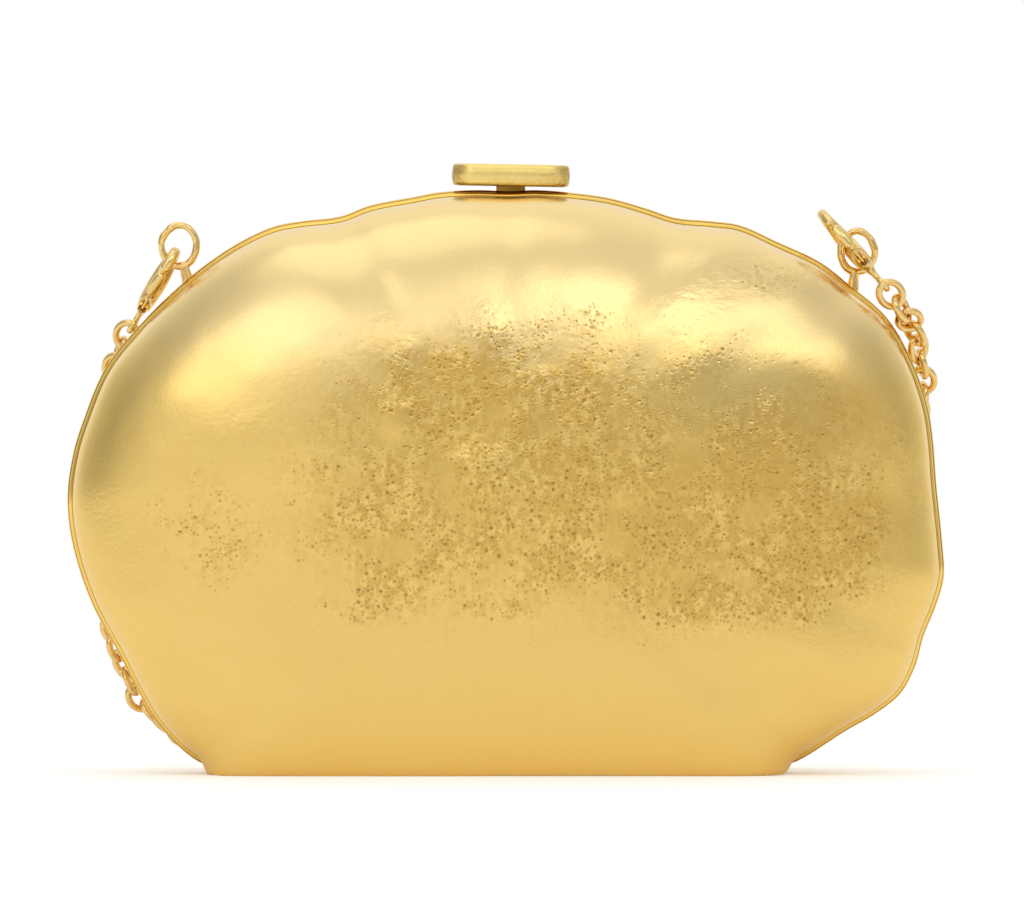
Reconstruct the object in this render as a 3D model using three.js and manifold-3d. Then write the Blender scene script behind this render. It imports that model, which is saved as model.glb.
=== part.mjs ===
// Clutch bag: two hammered brass bowls hinged along a flat base, lined with cloth, closed by
// a push-knob latch, with a short chain handle that hangs from two eyes on lobster claws.
// Millimetres, +Z up, the front faces -Y. The origin is the middle of the base.

import * as THREE from 'three';
import { mergeVertices } from 'three/addons/utils/BufferGeometryUtils.js';
import Module from 'manifold-3d';

const { smoothstep, degToRad } = THREE.MathUtils;
const wasm = await Module();
wasm.setup();

// Overall sizes
const bagWidth = 200;
const bagHeight = 133;
const bagDepth = 60;

// Clearances
const meshGap = 0.3;
const rimJointGap = 0.3;

// Bowls: the section from rim to crown is a superellipse, boxier near the base's edge. Along the
// base it is drawn that far below the floor and cut flat there, wide enough for each half to stand
const bowlWall = 1.0;
const sideRoundness = 2.4;
const baseRoundness = 3.5;
const boxyHeight = 62;
const boxyFullShare = 0.9;
const baseBlendHeight = 3;
const baseDrop = 5.2;
const crownHeight = 62;
const rimReveal = 1.4;
const bowlRings = 8;
const sideSteps = 60;
const baseSteps = 14;

// Lining
const liningThickness = 0.7;
const liningGap = 0.7;

// Rims: a flat rail on each half, the back one a little taller than the front one
const rimDepth = 3.0;
const rimWidth = 3.8;
const frontRimStep = 0.5;
const rimBaseLift = 0.3;

// Hinge along the base
const hingeLength = 100;
const hingeCentreX = -3.2;
const hingeAxisHeight = 1.9;
const knuckleRadius = 1.15;
const knuckleBoreRadius = 0.75;
const hingePinRadius = 0.45;
const pinHeadRadius = 0.95;
const pinHeadLength = 0.5;
const knuckleCount = 7;
const knuckleGap = 0.3;
const leafReach = 6.4;
const leafThickness = 0.7;
const leafSetback = 0.4;
const reliefHalfWidth = 1.5;

// Push knob and latch
const knobX = 1.2;
const knobLength = 27;
const knobDepth = 11;
const knobHeight = 5.1;
const knobEdge = 0.9;
const knobGap = 0.85;
const knobTilt = 1;
const knobSocketDepth = 1.2;
const latchTravel = 0.6;
const latchY = 1.65;
const latchWidth = 6.6;
const latchThickness = 1.2;
const latchHook = 0.5;
const fingerDrop = 4.5;
const fingerHeight = 1.8;
const fingerWidth = 3;
const barbLength = 1.9;
const footDepth = 3.8;
const footThickness = 1.0;
const footDrop = 1.5;
const footInset = 0.6;
const guideWall = 0.55;
const guideHollowWidth = 8.3;
const guideHollowDepth = 4.6;
const guideTopGap = 0.9;
const guideSetback = 0.05;
const springSetback = 0.1;
const springLength = 5.4;
const springRadius = 1.4;
const springWire = 0.28;
const springTurns = 4;
const stepsPerTurn = 11;
const catchPlateWidth = 6;
const catchPlateThickness = 1.2;
const catchPlateY = -2.6;

// Eyes soldered to the back rim
const eyeWire = 0.7;
const eyeHalfWidth = 3.95;
const eyeHalfHeight = 4.6;
const eyeY = 2.2;
const stemWidth = 2.3;
const stemThickness = 1.6;
const stemSink = 0.5;

// Lobster claws: x runs across a claw towards its fixed side, y from the tail to the hook's top
const clawThickness = 2.9;
const clawTop = 22.6;
const clawOpeningTop = 20.4;
const clawOpeningHalf = 2.9;
const clawTailThickness = 1.6;
const tailEyeRadius = 2.1;
const tailEyeBore = 1.1;
const neckHalfWidth = 1;
const neckBottom = 1.5;
const neckTop = 5;
const mouthBottom = 8.9;
const mouthX = -1.6;
const gateSlotBottom = 5.4;
const gateSlotTop = 10.5;
const gateSlotX = 0.4;
const gateThickness = 1.3;
const gatePivot = [-2.4, 7.2];
const gateRootRadius = 1.35;
const gateTop = 17.1;
const rivetRadius = 0.45;
const clawSpringWire = 0.15;
const clawSpringBend = [[-0.6, 5.9, 0], [0.5, 7.2, 0], [-0.4, 8.8, 0]];
const hookPlay = { left: 0.95, right: 0.5 };

// Chain: the round envelope that its links fill
const chainRadius = 3.5;

// The outline of the back rim, anticlockwise from the right end of the flat base
const drawnWidth = 200.1;
const drawnHeight = 133.1;
const drawnOutline = [
  [52.4, 0], [60.8, 0.8], [66.5, 2.6], [77.8, 9.6], [84.4, 13.4], [90.2, 18.1],
  [93.6, 24.4], [95.5, 31.3], [98.2, 37.9], [100.1, 44.8], [99.8, 52.0], [98.4, 66.0],
  [97.6, 76.3], [96.5, 83.2], [93.0, 93.6], [87.0, 104.1], [78.6, 111.4], [71.8, 116.7],
  [62.5, 121.1], [53.4, 125.1], [47.0, 126.0], [38.7, 126.8], [31.9, 129.0], [23.6, 131.3],
  [14.1, 132.6], [7.0, 133.1], [0.8, 132.9], [-6.9, 133.1], [-15.1, 132.6], [-21.1, 131.5],
  [-30.9, 129.6], [-37.7, 127.1], [-46.7, 126.0], [-52.8, 124.8], [-60.5, 121.3],
  [-68.7, 115.9], [-76.5, 109.3], [-84.1, 101.6], [-91.4, 92.3], [-96.1, 81.3],
  [-98.7, 72.9], [-100.0, 62.6], [-98.8, 52.1], [-94.5, 38.9], [-88.3, 27.3],
  [-84.2, 19.3], [-79.9, 12.0], [-73.0, 4.6], [-67.0, 1.1], [-58.8, 0],
];
const widthScale = bagWidth / drawnWidth;
const heightScale = bagHeight / drawnHeight;

// Broad soft dents and swellings: x, z, radius, and how far out the metal stands
const frontDents = [
  [-46, 92, 20, 0.7], [-14, 80, 15, -0.6], [38, 96, 17, 0.6], [62, 84, 13, -0.5],
  [4, 62, 20, 0.5], [-40, 52, 18, -0.4], [70, 58, 18, 0.5], [40, 50, 16, -0.5],
];
const backDents = [
  [44, 90, 19, 0.6], [10, 78, 16, -0.6], [-38, 94, 18, 0.5], [-62, 70, 15, -0.5],
  [-8, 56, 20, 0.5], [48, 46, 17, -0.4], [-60, 42, 16, 0.4],
];

// Where each eye stands on the rim, where round it the claw hooks in, where on the claw that is,
// how far the claw leans from the rim's slope there, and how far its tail tilts behind the rim
const eyes = {
  left: {
    anchorX: -72.6 * widthScale, centreOffset: [-1.9, 7.6], hookAngle: 235,
    hookU: -0.3, hookV: clawOpeningTop - eyeWire - hookPlay.left, leanFromRim: 19, tilt: 26,
  },
  right: {
    anchorX: 79.3 * widthScale, centreOffset: [1.1, 8.2], hookAngle: 143,
    hookU: clawOpeningHalf - eyeWire - hookPlay.right, hookV: 14.1, leanFromRim: 169.3, tilt: -11,
  },
};

// The chain's route from the right claw's tail, down behind the bag, and up to the left one
const chainRoute = [
  [87.8, -2.8, 109.2], [90.4, -1.2, 105.9], [92.9, 3.2, 101.9], [94.3, 6.9, 97.1],
  [95.3, 9.8, 92.6], [95.6, 12.8, 87.2], [94.8, 16.0, 80.0], [94.6, 18.9, 70.0],
  [94.1, 21.3, 59.0], [92.6, 23.3, 47.0], [90.2, 25.4, 35.5], [86.0, 27.6, 25.0],
  [80.0, 29.8, 15.6], [72.0, 31.6, 8.6], [62.5, 33.0, 4.6], [51.0, 34.2, 3.56],
  [36.0, 36.0, 3.55], [18.0, 38.6, 3.55], [0.0, 38.8, 3.55], [-18.0, 36.2, 3.55],
  [-36.0, 34.4, 3.55], [-50.0, 34.0, 3.56], [-61.5, 33.2, 4.3], [-71.5, 31.8, 6.6],
  [-79.6, 30.0, 11.6], [-85.6, 28.2, 19.0], [-89.2, 26.6, 28.6], [-90.8, 25.2, 40.0],
  [-91.4, 23.8, 52.0], [-91.6, 22.0, 64.0], [-91.2, 19.6, 76.0], [-90.5, 16.8, 86.6],
  [-89.0, 14.2, 94.4], [-86.7, 11.8, 99.9],
];
const chainSteps = 62;

// Materials
const metal = (color, roughness) =>
  new THREE.MeshStandardMaterial({ color, roughness, metalness: 1 });
const cloth = (color) => new THREE.MeshStandardMaterial({ color, roughness: 0.9, metalness: 0 });
const hammeredGold = 0xd9b45c;
const polishedGold = 0xe8b44a;
const satinGold = 0xd2b766;
const linkGold = 0xdba95a;
const springSteel = 0xb8b8b4;
const liningCloth = 0x8a7350;

// Geometry helpers

const cutMargin = 1;
const weldDepth = 0.1;

function merged(geometry) {
  const bare = geometry.index ? geometry.toNonIndexed() : geometry.clone();
  for (const name of Object.keys(bare.attributes)) {
    if (name !== 'position') bare.deleteAttribute(name);
  }
  return mergeVertices(bare, 1e-4);
}

function toSolid(geometry) {
  const welded = merged(geometry);
  return new wasm.Manifold(new wasm.Mesh({
    numProp: 3,
    vertProperties: new Float32Array(welded.attributes.position.array),
    triVerts: new Uint32Array(welded.index.array),
  }));
}

function toGeometry(solid) {
  const mesh = solid.getMesh();
  const geometry = new THREE.BufferGeometry();
  geometry.setAttribute('position', new THREE.BufferAttribute(mesh.vertProperties, 3));
  geometry.setIndex(new THREE.BufferAttribute(mesh.triVerts, 1));
  geometry.computeVertexNormals();
  return geometry;
}

function join(...geometries) {
  const solids = geometries.map(toSolid);
  return toGeometry(solids.reduce((all, one) => all.add(one)));
}

function cut(geometry, ...tools) {
  return toGeometry(tools.map(toSolid).reduce((rest, tool) => rest.subtract(tool), toSolid(geometry)));
}

// A box between two corners
function block([x0, y0, z0], [x1, y1, z1]) {
  const geometry = new THREE.BoxGeometry(x1 - x0, y1 - y0, z1 - z0);
  return geometry.translate((x0 + x1) / 2, (y0 + y1) / 2, (z0 + z1) / 2);
}

// A round rod along X
function rodAlongX(radius, x0, x1, y, z, sides = 16) {
  const geometry = new THREE.CylinderGeometry(radius, radius, x1 - x0, sides);
  return geometry.rotateZ(Math.PI / 2).translate((x0 + x1) / 2, y, z);
}

// A flat piece in the X-Z plane, from nearY to farY
function plateXZ(shape, nearY, farY, curveSegments = 8) {
  const geometry = new THREE.ExtrudeGeometry(shape, {
    depth: farY - nearY, bevelEnabled: false, curveSegments,
  });
  return geometry.rotateX(Math.PI / 2).translate(0, farY, 0);
}

// A flat piece in its own plane, with its thickness centred on that plane
function flatPiece(shape, thickness, curveSegments = 8) {
  const geometry = new THREE.ExtrudeGeometry(shape, {
    depth: thickness, bevelEnabled: false, curveSegments,
  });
  return geometry.translate(0, 0, -thickness / 2);
}

function circleShape(radius, sides, x = 0, y = 0) {
  const points = [];
  for (let i = 0; i < sides; i++) {
    const angle = (i / sides) * 2 * Math.PI;
    points.push(new THREE.Vector2(x + radius * Math.cos(angle), y + radius * Math.sin(angle)));
  }
  return new THREE.Shape(points);
}

function tube(curve, steps, radius, sides) {
  return new THREE.ExtrudeGeometry(circleShape(radius, sides), { steps, extrudePath: curve });
}

function mesh(name, geometry, material) {
  const made = new THREE.Mesh(geometry, material);
  made.name = name;
  return made;
}

// Outline

function sampledOutline() {
  const points = drawnOutline.map(
    ([x, z]) => new THREE.Vector3(x * widthScale, z * heightScale, 0),
  );
  const sideCurve = new THREE.CatmullRomCurve3(points, false, 'centripetal');
  const side = sideCurve.getSpacedPoints(sideSteps).map((p) => new THREE.Vector2(p.x, p.y));
  const baseLine = new THREE.LineCurve(side.at(-1), side[0]);
  return [...side, ...baseLine.getSpacedPoints(baseSteps).slice(1, -1)];
}

const outline = sampledOutline();
const centre = new THREE.Vector2(0, crownHeight * heightScale);

// The outline moved inwards by distance(point), which may be negative
function insetOutline(distance) {
  const count = outline.length;
  return outline.map((point, i) => {
    const before = outline[(i + count - 1) % count];
    const after = outline[(i + 1) % count];
    const along = after.clone().sub(before).normalize();
    const outward = new THREE.Vector2(along.y, -along.x);
    return point.clone().addScaledVector(outward, -distance(point));
  });
}

// The height of the outline's upper side at x
function outlineHeight(x) {
  let height = 0;
  outline.forEach((a, i) => {
    const b = outline[(i + 1) % outline.length];
    if (Math.min(a.x, b.x) <= x && x <= Math.max(a.x, b.x) && a.x !== b.x) {
      height = Math.max(height, a.y + ((x - a.x) / (b.x - a.x)) * (b.y - a.y));
    }
  });
  return height;
}

// The slope of the outline's upper side at x, as an angle, over a millimetre
function rimSlope(x) {
  return Math.atan(outlineHeight(x + 1 / 2) - outlineHeight(x - 1 / 2));
}

const baseWeight = (point) => 1 - smoothstep(point.y, 0, baseBlendHeight);
const boxyWeight = (point) => 1 - smoothstep(point.y, 0, boxyHeight);

// Bowls and linings

function dentRise(dents, x, z) {
  return dents.reduce((rise, [dentX, dentZ, radius, out]) => {
    const away = Math.hypot(x - dentX * widthScale, z - dentZ * heightScale) / radius;
    return rise + out * Math.exp(-away * away);
  }, 0);
}

// One skin of a bowl: rings of points from the edge towards the crown, and the crown itself
function bowlSkin(inset, edgeY, depth, floor, dents) {
  const edge = insetOutline((p) => rimReveal * (1 - baseWeight(p)) + inset);
  edge.forEach((point, i) => {
    point.y -= baseDrop * baseWeight(outline[i]);
  });
  const rings = [];
  for (let k = 0; k < bowlRings; k++) {
    const share = Math.cos((k / bowlRings) * (Math.PI / 2));
    const boxyShare = smoothstep(share, 0, boxyFullShare);
    rings.push(edge.map((edgePoint, i) => {
      const boxiness = boxyWeight(outline[i]) * boxyShare;
      const roundness = sideRoundness + (baseRoundness - sideRoundness) * boxiness;
      const rise = (1 - share ** roundness) ** (1 / roundness);
      const x = centre.x + (edgePoint.x - centre.x) * share;
      const z = Math.max(floor, centre.y + (edgePoint.y - centre.y) * share);
      const y = edgeY + (depth - edgeY) * rise + dentRise(dents, x, z) * rise ** 2;
      return new THREE.Vector3(x, y, z);
    }));
  }
  const crownY = depth + dentRise(dents, centre.x, centre.y);
  return { rings, crown: new THREE.Vector3(centre.x, crownY, centre.y) };
}

// A closed surface over rings of equal count, with a point closing each end. Its first half is
// cut into triangles the other way, so that nested skins run parallel where their quads twist
function closedLoft(firstTip, rings, lastTip) {
  const count = rings[0].length;
  const vertices = [firstTip, ...rings.flat(), lastTip];
  const index = [];
  const at = (ring, i) => 1 + ring * count + (i % count);
  for (let i = 0; i < count; i++) {
    index.push(0, at(0, i), at(0, i + 1));
    for (let ring = 0; ring + 1 < rings.length; ring++) {
      const [a, b, c, d] = [at(ring, i), at(ring + 1, i), at(ring + 1, i + 1), at(ring, i + 1)];
      if (ring < rings.length / 2) {
        index.push(a, b, d, b, c, d);
      } else {
        index.push(a, b, c, a, c, d);
      }
    }
    index.push(at(rings.length - 1, i), vertices.length - 1, at(rings.length - 1, i + 1));
  }
  const geometry = new THREE.BufferGeometry().setFromPoints(vertices);
  geometry.setIndex(index);
  return geometry;
}

// A bowl with its hollow towards the rim plane: side is 1 for the back half, -1 for the front
function bowl(side, inset, edgeY, depth, floor, thickness, dents) {
  const outer = bowlSkin(inset, edgeY, depth, floor, dents);
  const inner = bowlSkin(inset + thickness, edgeY, depth - thickness, floor + thickness, dents);
  const rings = [...outer.rings.toReversed(), ...inner.rings];
  const geometry = closedLoft(outer.crown, rings, inner.crown);
  if (side > 0) {
    const order = geometry.index.array;
    for (let i = 0; i < order.length; i += 3) {
      [order[i], order[i + 1]] = [order[i + 1], order[i]];
    }
  } else {
    const position = geometry.attributes.position;
    for (let i = 0; i < position.count; i++) position.setY(i, -position.getY(i));
  }
  geometry.computeVertexNormals();
  return geometry;
}

const rimNearY = rimJointGap / 2;
const rimFarY = rimNearY + rimDepth;
const bowlEdgeY = rimFarY + meshGap;
const halfDepth = bagDepth / 2;

function shellGeometry(side, dents) {
  return bowl(side, 0, bowlEdgeY, halfDepth, 0, bowlWall, dents);
}

function liningGeometry(side, dents) {
  const inset = bowlWall + liningGap;
  return bowl(side, inset, bowlEdgeY, halfDepth - inset, inset, liningThickness, dents);
}

// Rims and hinge

const hingeStartX = hingeCentreX - hingeLength / 2;
const hingeEndX = hingeCentreX + hingeLength / 2;
const leafBottom = rimWidth + meshGap;

// The rim is cut back below the hinge axis, so that the lower edges pass as the bag opens,
// and right through where the knuckles and the pin's heads lie
function rimGeometry(side, step) {
  const shape = new THREE.Shape(insetOutline((p) => step + rimBaseLift * baseWeight(p)));
  shape.holes.push(new THREE.Path(insetOutline(() => rimWidth)));
  const nearY = side > 0 ? rimNearY : -rimFarY;
  const farY = side > 0 ? rimFarY : -rimNearY;
  const headRoom = pinHeadLength + 2 * meshGap;
  const relief = block(
    [-bagWidth, -reliefHalfWidth, -cutMargin],
    [bagWidth, reliefHalfWidth, hingeAxisHeight],
  );
  const knuckleRoom = block(
    [hingeStartX - headRoom, -reliefHalfWidth, -cutMargin],
    [hingeEndX + headRoom, reliefHalfWidth, rimWidth + cutMargin],
  );
  return cut(plateXZ(shape, nearY, farY), relief, knuckleRoom);
}

function hingeLeafGeometry(side) {
  const pitch = (hingeLength + knuckleGap) / knuckleCount;
  const wanted = side > 0 ? 0 : 1;
  const plate = block(
    [hingeStartX, Math.min(side * leafSetback, side * leafReach), leafBottom],
    [hingeEndX, Math.max(side * leafSetback, side * leafReach), leafBottom + leafThickness],
  );
  const pieces = [plate];
  for (let i = 0; i < knuckleCount; i++) {
    if (i % 2 !== wanted) continue;
    const x0 = hingeStartX + i * pitch;
    const x1 = x0 + pitch - knuckleGap;
    pieces.push(rodAlongX(knuckleRadius, x0, x1, 0, hingeAxisHeight));
    pieces.push(block(
      [x0, Math.min(side * leafSetback, side * knuckleRadius), hingeAxisHeight],
      [x1, Math.max(side * leafSetback, side * knuckleRadius), leafBottom + leafThickness / 2],
    ));
  }
  const bore = rodAlongX(
    knuckleBoreRadius, hingeStartX - cutMargin, hingeEndX + cutMargin, 0, hingeAxisHeight,
  );
  return cut(join(...pieces), bore);
}

function hingePinGeometry() {
  const headIn = hingeLength / 2 + meshGap;
  const headOut = headIn + pinHeadLength;
  const profile = [
    [0, -headOut], [pinHeadRadius, -headOut], [pinHeadRadius, -headIn], [hingePinRadius, -headIn],
    [hingePinRadius, headIn], [pinHeadRadius, headIn], [pinHeadRadius, headOut], [0, headOut],
  ].map(([r, along]) => new THREE.Vector2(r, along));
  const pin = new THREE.LatheGeometry(profile, 12);
  return pin.rotateZ(-Math.PI / 2).translate(hingeCentreX, 0, hingeAxisHeight);
}

// Latch: pressing the knob lowers the latch plate, whose window sill frees the catch's barb

const rimTop = outlineHeight(knobX);
const rimUnderside = rimTop - rimWidth;
const knobBottom = rimTop + knobGap;
const fingerTop = rimUnderside - fingerDrop;
const fingerBottom = fingerTop - fingerHeight;
const sillTop = fingerBottom - meshGap;
const windowTop = fingerTop + latchTravel + meshGap;
const footTop = sillTop - footDrop;
const footBottom = footTop - footThickness;
const springTop = footBottom - meshGap;
const springBottom = springTop - springLength;
const guideFloor = springBottom - meshGap;
const latchNearY = latchY - latchThickness / 2;
const latchFarY = latchY + latchThickness / 2;
const plateTop = knobBottom + knobSocketDepth - meshGap - weldDepth;
const guideNearY = rimNearY + guideSetback;
const guideFarY = guideNearY + 2 * guideWall + guideHollowDepth;
const springY = (latchNearY + footDepth + guideNearY + guideWall) / 2 + springSetback;

function knobGeometry() {
  const radius = knobDepth / 2;
  const straight = knobLength / 2 - radius;
  const shape = new THREE.Shape();
  shape.absarc(straight, 0, radius, -Math.PI / 2, Math.PI / 2);
  shape.absarc(-straight, 0, radius, Math.PI / 2, (3 * Math.PI) / 2);
  const disc = new THREE.ExtrudeGeometry(shape, {
    depth: knobHeight - 2 * knobEdge, bevelEnabled: true, bevelThickness: knobEdge,
    bevelSize: knobEdge, bevelOffset: -knobEdge, bevelSegments: 3, curveSegments: 10,
  }).translate(0, 0, knobEdge);
  const socket = block(
    [-latchWidth / 2 - meshGap, -latchThickness / 2 - meshGap, -cutMargin],
    [latchWidth / 2 + meshGap, latchThickness / 2 + meshGap, knobSocketDepth],
  );
  return cut(disc, socket);
}

function latchPlateGeometry() {
  const strip = block(
    [knobX - latchWidth / 2, latchNearY, footBottom],
    [knobX + latchWidth / 2, latchFarY, plateTop],
  );
  const foot = block(
    [knobX - latchWidth / 2 + footInset, latchNearY, footBottom],
    [knobX + latchWidth / 2 - footInset, latchNearY + footDepth, footTop],
  );
  const opening = block(
    [knobX - fingerWidth / 2 - meshGap, latchNearY - cutMargin, sillTop],
    [knobX + fingerWidth / 2 + meshGap, latchFarY + cutMargin, windowTop],
  );
  return join(cut(strip, opening), foot);
}

function catchGeometry() {
  const plate = block(
    [knobX - catchPlateWidth / 2, catchPlateY, fingerBottom],
    [knobX + catchPlateWidth / 2, catchPlateY + catchPlateThickness, rimUnderside - meshGap],
  );
  const barbStart = latchFarY + meshGap + weldDepth;
  const finger = block(
    [knobX - fingerWidth / 2, catchPlateY, fingerBottom],
    [knobX + fingerWidth / 2, barbStart + barbLength, fingerTop],
  );
  const barb = block(
    [knobX - fingerWidth / 2, barbStart, sillTop - latchHook],
    [knobX + fingerWidth / 2, barbStart + barbLength, fingerBottom + weldDepth],
  );
  return join(plate, finger, barb);
}

// A pressed cover that guides the latch plate: open at the top, with a window for the finger
function guideBoxGeometry() {
  const halfHollow = guideHollowWidth / 2;
  const top = rimUnderside - guideTopGap;
  const body = block(
    [knobX - halfHollow - guideWall, guideNearY, guideFloor - guideWall],
    [knobX + halfHollow + guideWall, guideFarY, top],
  );
  const hollow = block(
    [knobX - halfHollow, guideNearY + guideWall, guideFloor],
    [knobX + halfHollow, guideFarY - guideWall, top + cutMargin],
  );
  const window = block(
    [knobX - fingerWidth / 2 - 2 * meshGap, guideNearY - cutMargin, sillTop - latchHook - 2 * meshGap],
    [knobX + fingerWidth / 2 + 2 * meshGap, guideNearY + guideWall + weldDepth, fingerTop + 2 * meshGap],
  );
  return cut(body, hollow, window);
}

class Helix extends THREE.Curve {
  constructor(radius, height, turns) {
    super();
    Object.assign(this, { radius, height, turns });
  }

  getPoint(t, target = new THREE.Vector3()) {
    const angle = t * this.turns * 2 * Math.PI;
    return target.set(this.radius * Math.cos(angle), this.radius * Math.sin(angle), this.height * t);
  }
}

function latchSpringGeometry() {
  const wireHeight = springLength - 2 * springWire;
  const helix = new Helix(springRadius, wireHeight, springTurns);
  const wire = tube(helix, springTurns * stepsPerTurn, springWire, 6);
  return wire.translate(knobX, springY, springBottom + springWire);
}

// The slot in the back rim that the latch plate slides through
function latchSlot() {
  return block(
    [knobX - latchWidth / 2 - meshGap, latchNearY - meshGap, rimUnderside - cutMargin],
    [knobX + latchWidth / 2 + meshGap, latchFarY + meshGap, rimTop + cutMargin],
  );
}

// Eyes

function eyeCentre({ anchorX, centreOffset }) {
  return new THREE.Vector3(
    anchorX + centreOffset[0], eyeY, outlineHeight(anchorX) + centreOffset[1],
  );
}

// A ring of round wire with a stem, whose foot is cut to the slope of the rim below it
function eyeGeometry(eye) {
  const middle = eyeCentre(eye);
  const ring = new THREE.TorusGeometry(eyeHalfHeight, eyeWire, 8, 28);
  ring.scale(eyeHalfWidth / eyeHalfHeight, 1, 1);
  ring.rotateX(Math.PI / 2).translate(middle.x, middle.y, middle.z);
  const [dx, dz] = eye.centreOffset;
  const toRing = Math.hypot(dx, dz) - eyeHalfHeight;
  const stem = new THREE.BoxGeometry(stemWidth, stemThickness, toRing + 2 * stemSink);
  stem.translate(0, 0, toRing / 2);
  stem.rotateY(Math.atan2(dx, dz)).translate(eye.anchorX, eyeY, middle.z - dz);
  const bagSide = new THREE.Shape(insetOutline(() => -meshGap));
  return cut(join(ring, stem), plateXZ(bagSide, eyeY - stemThickness, eyeY + stemThickness));
}

// Claws

const clawFixedSide = [
  [1.0, 4.2], [1.6, 5.4], [2.3, 7.0], [3.6, 9.2], [4.7, 11.8], [5.0, 14.4], [4.5, 17.2],
  [3.4, 19.8], [1.8, 21.8], [0, clawTop],
];
const clawGateSide = [
  [-1.8, 21.8], [-3.4, 19.8], [-4.5, 17.2], [-5.0, 14.2], [-4.9, 11.4], [-4.4, 8.8],
  [-3.5, 6.6], [-2.3, 5.0], [-1.0, 4.2],
];
const clawOpening = [
  [0, 9.2], [1.5, 9.9], [2.5, 11.6], [2.9, 13.8], [2.8, 16.2], [2.1, 18.6], [1.1, 19.9],
  [0, clawOpeningTop], [-1.1, 19.9], [-2.1, 18.6], [-2.8, 16.2], [-2.9, 13.6], [-2.5, 11.2],
  [-1.5, 9.7],
];
const loopPoints = (pairs) => pairs.map(([x, y]) => new THREE.Vector2(x, y));

function clawBodyGeometry() {
  const shape = new THREE.Shape(loopPoints([...clawFixedSide, ...clawGateSide]));
  shape.holes.push(new THREE.Path(loopPoints(clawOpening)));
  const loop = flatPiece(shape, clawThickness);
  const tail = circleShape(tailEyeRadius, 16);
  const neck = block(
    [-neckHalfWidth, neckBottom, -clawTailThickness / 2],
    [neckHalfWidth, neckTop, clawTailThickness / 2],
  );
  const mouth = block(
    [-clawTop, mouthBottom, -clawThickness],
    [mouthX, gateTop + meshGap, clawThickness],
  );
  const slotHalf = gateThickness / 2 + meshGap;
  const slot = block(
    [-clawTop, gateSlotBottom, -slotHalf],
    [gateSlotX, gateSlotTop, slotHalf],
  );
  const [pivotX, pivotY] = gatePivot;
  const rivetShape = circleShape(rivetRadius + meshGap, 12, pivotX, pivotY);
  const rivetHole = flatPiece(rivetShape, 2 * clawThickness);
  const tailHole = flatPiece(circleShape(tailEyeBore, 12), 2 * clawThickness);
  const whole = join(loop, neck, flatPiece(tail, clawTailThickness));
  return cut(whole, mouth, slot, rivetHole, tailHole);
}

function clawGateGeometry() {
  const arm = new THREE.Shape(loopPoints([
    [-3.6, 7.2], [-4.25, 9.0], [-5.8, 9.6], [-5.9, 10.5], [-4.75, 10.9], [-4.95, 14.2],
    [-4.55, gateTop], [-2.75, gateTop], [-2.95, 14.0], [-2.7, 12.0], [-1.9, 9.6], [-1.3, 8.0],
  ]));
  const [pivotX, pivotY] = gatePivot;
  const root = circleShape(gateRootRadius, 14, pivotX, pivotY);
  const bore = circleShape(rivetRadius + meshGap, 12, pivotX, pivotY);
  const whole = join(flatPiece(arm, gateThickness), flatPiece(root, gateThickness));
  return cut(whole, flatPiece(bore, 2 * gateThickness));
}

function clawRivetGeometry() {
  return flatPiece(circleShape(rivetRadius, 12, ...gatePivot), clawThickness);
}

function clawSpringGeometry() {
  const points = clawSpringBend.map(([x, y, z]) => new THREE.Vector3(x, y, z));
  return tube(new THREE.QuadraticBezierCurve3(...points), 8, clawSpringWire, 6);
}

// The group that carries a claw: its axis leans in the plane of the rim and tilts behind it
function clawGroup(name) {
  const eye = eyes[name];
  const lean = rimSlope(eye.anchorX) + degToRad(eye.leanFromRim);
  const tilt = degToRad(eye.tilt);
  const up = new THREE.Vector3(
    Math.cos(lean) * Math.cos(tilt), -Math.sin(tilt), Math.sin(lean) * Math.cos(tilt),
  );
  const across = new THREE.Vector3(0, 1, 0).addScaledVector(up, -up.y).normalize();
  const through = new THREE.Vector3().crossVectors(across, up);
  const hook = degToRad(eye.hookAngle);
  const wire = eyeCentre(eye).add(
    new THREE.Vector3(eyeHalfWidth * Math.cos(hook), 0, eyeHalfHeight * Math.sin(hook)),
  );
  const group = new THREE.Group();
  group.quaternion.setFromRotationMatrix(new THREE.Matrix4().makeBasis(across, up, through));
  group.position.copy(wire).addScaledVector(up, -eye.hookV).addScaledVector(across, -eye.hookU);
  group.add(mesh(`${name}_claw_body`, clawBodyGeometry(), metal(satinGold, 0.3)));
  group.add(mesh(`${name}_claw_gate`, clawGateGeometry(), metal(satinGold, 0.3)));
  group.add(mesh(`${name}_claw_rivet`, clawRivetGeometry(), metal(polishedGold, 0.25)));
  group.add(mesh(`${name}_claw_spring`, clawSpringGeometry(), metal(springSteel, 0.35)));
  return group;
}

// Chain

function chainGeometry() {
  const points = chainRoute.map(([x, y, z]) => new THREE.Vector3(x, y, z));
  const route = new THREE.CatmullRomCurve3(points, false, 'centripetal');
  return tube(route, chainSteps, chainRadius, 8);
}

// Assembly

const bag = new THREE.Group();
const backHalf = new THREE.Group();
const frontHalf = new THREE.Group();
bag.add(backHalf, frontHalf);

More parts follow.
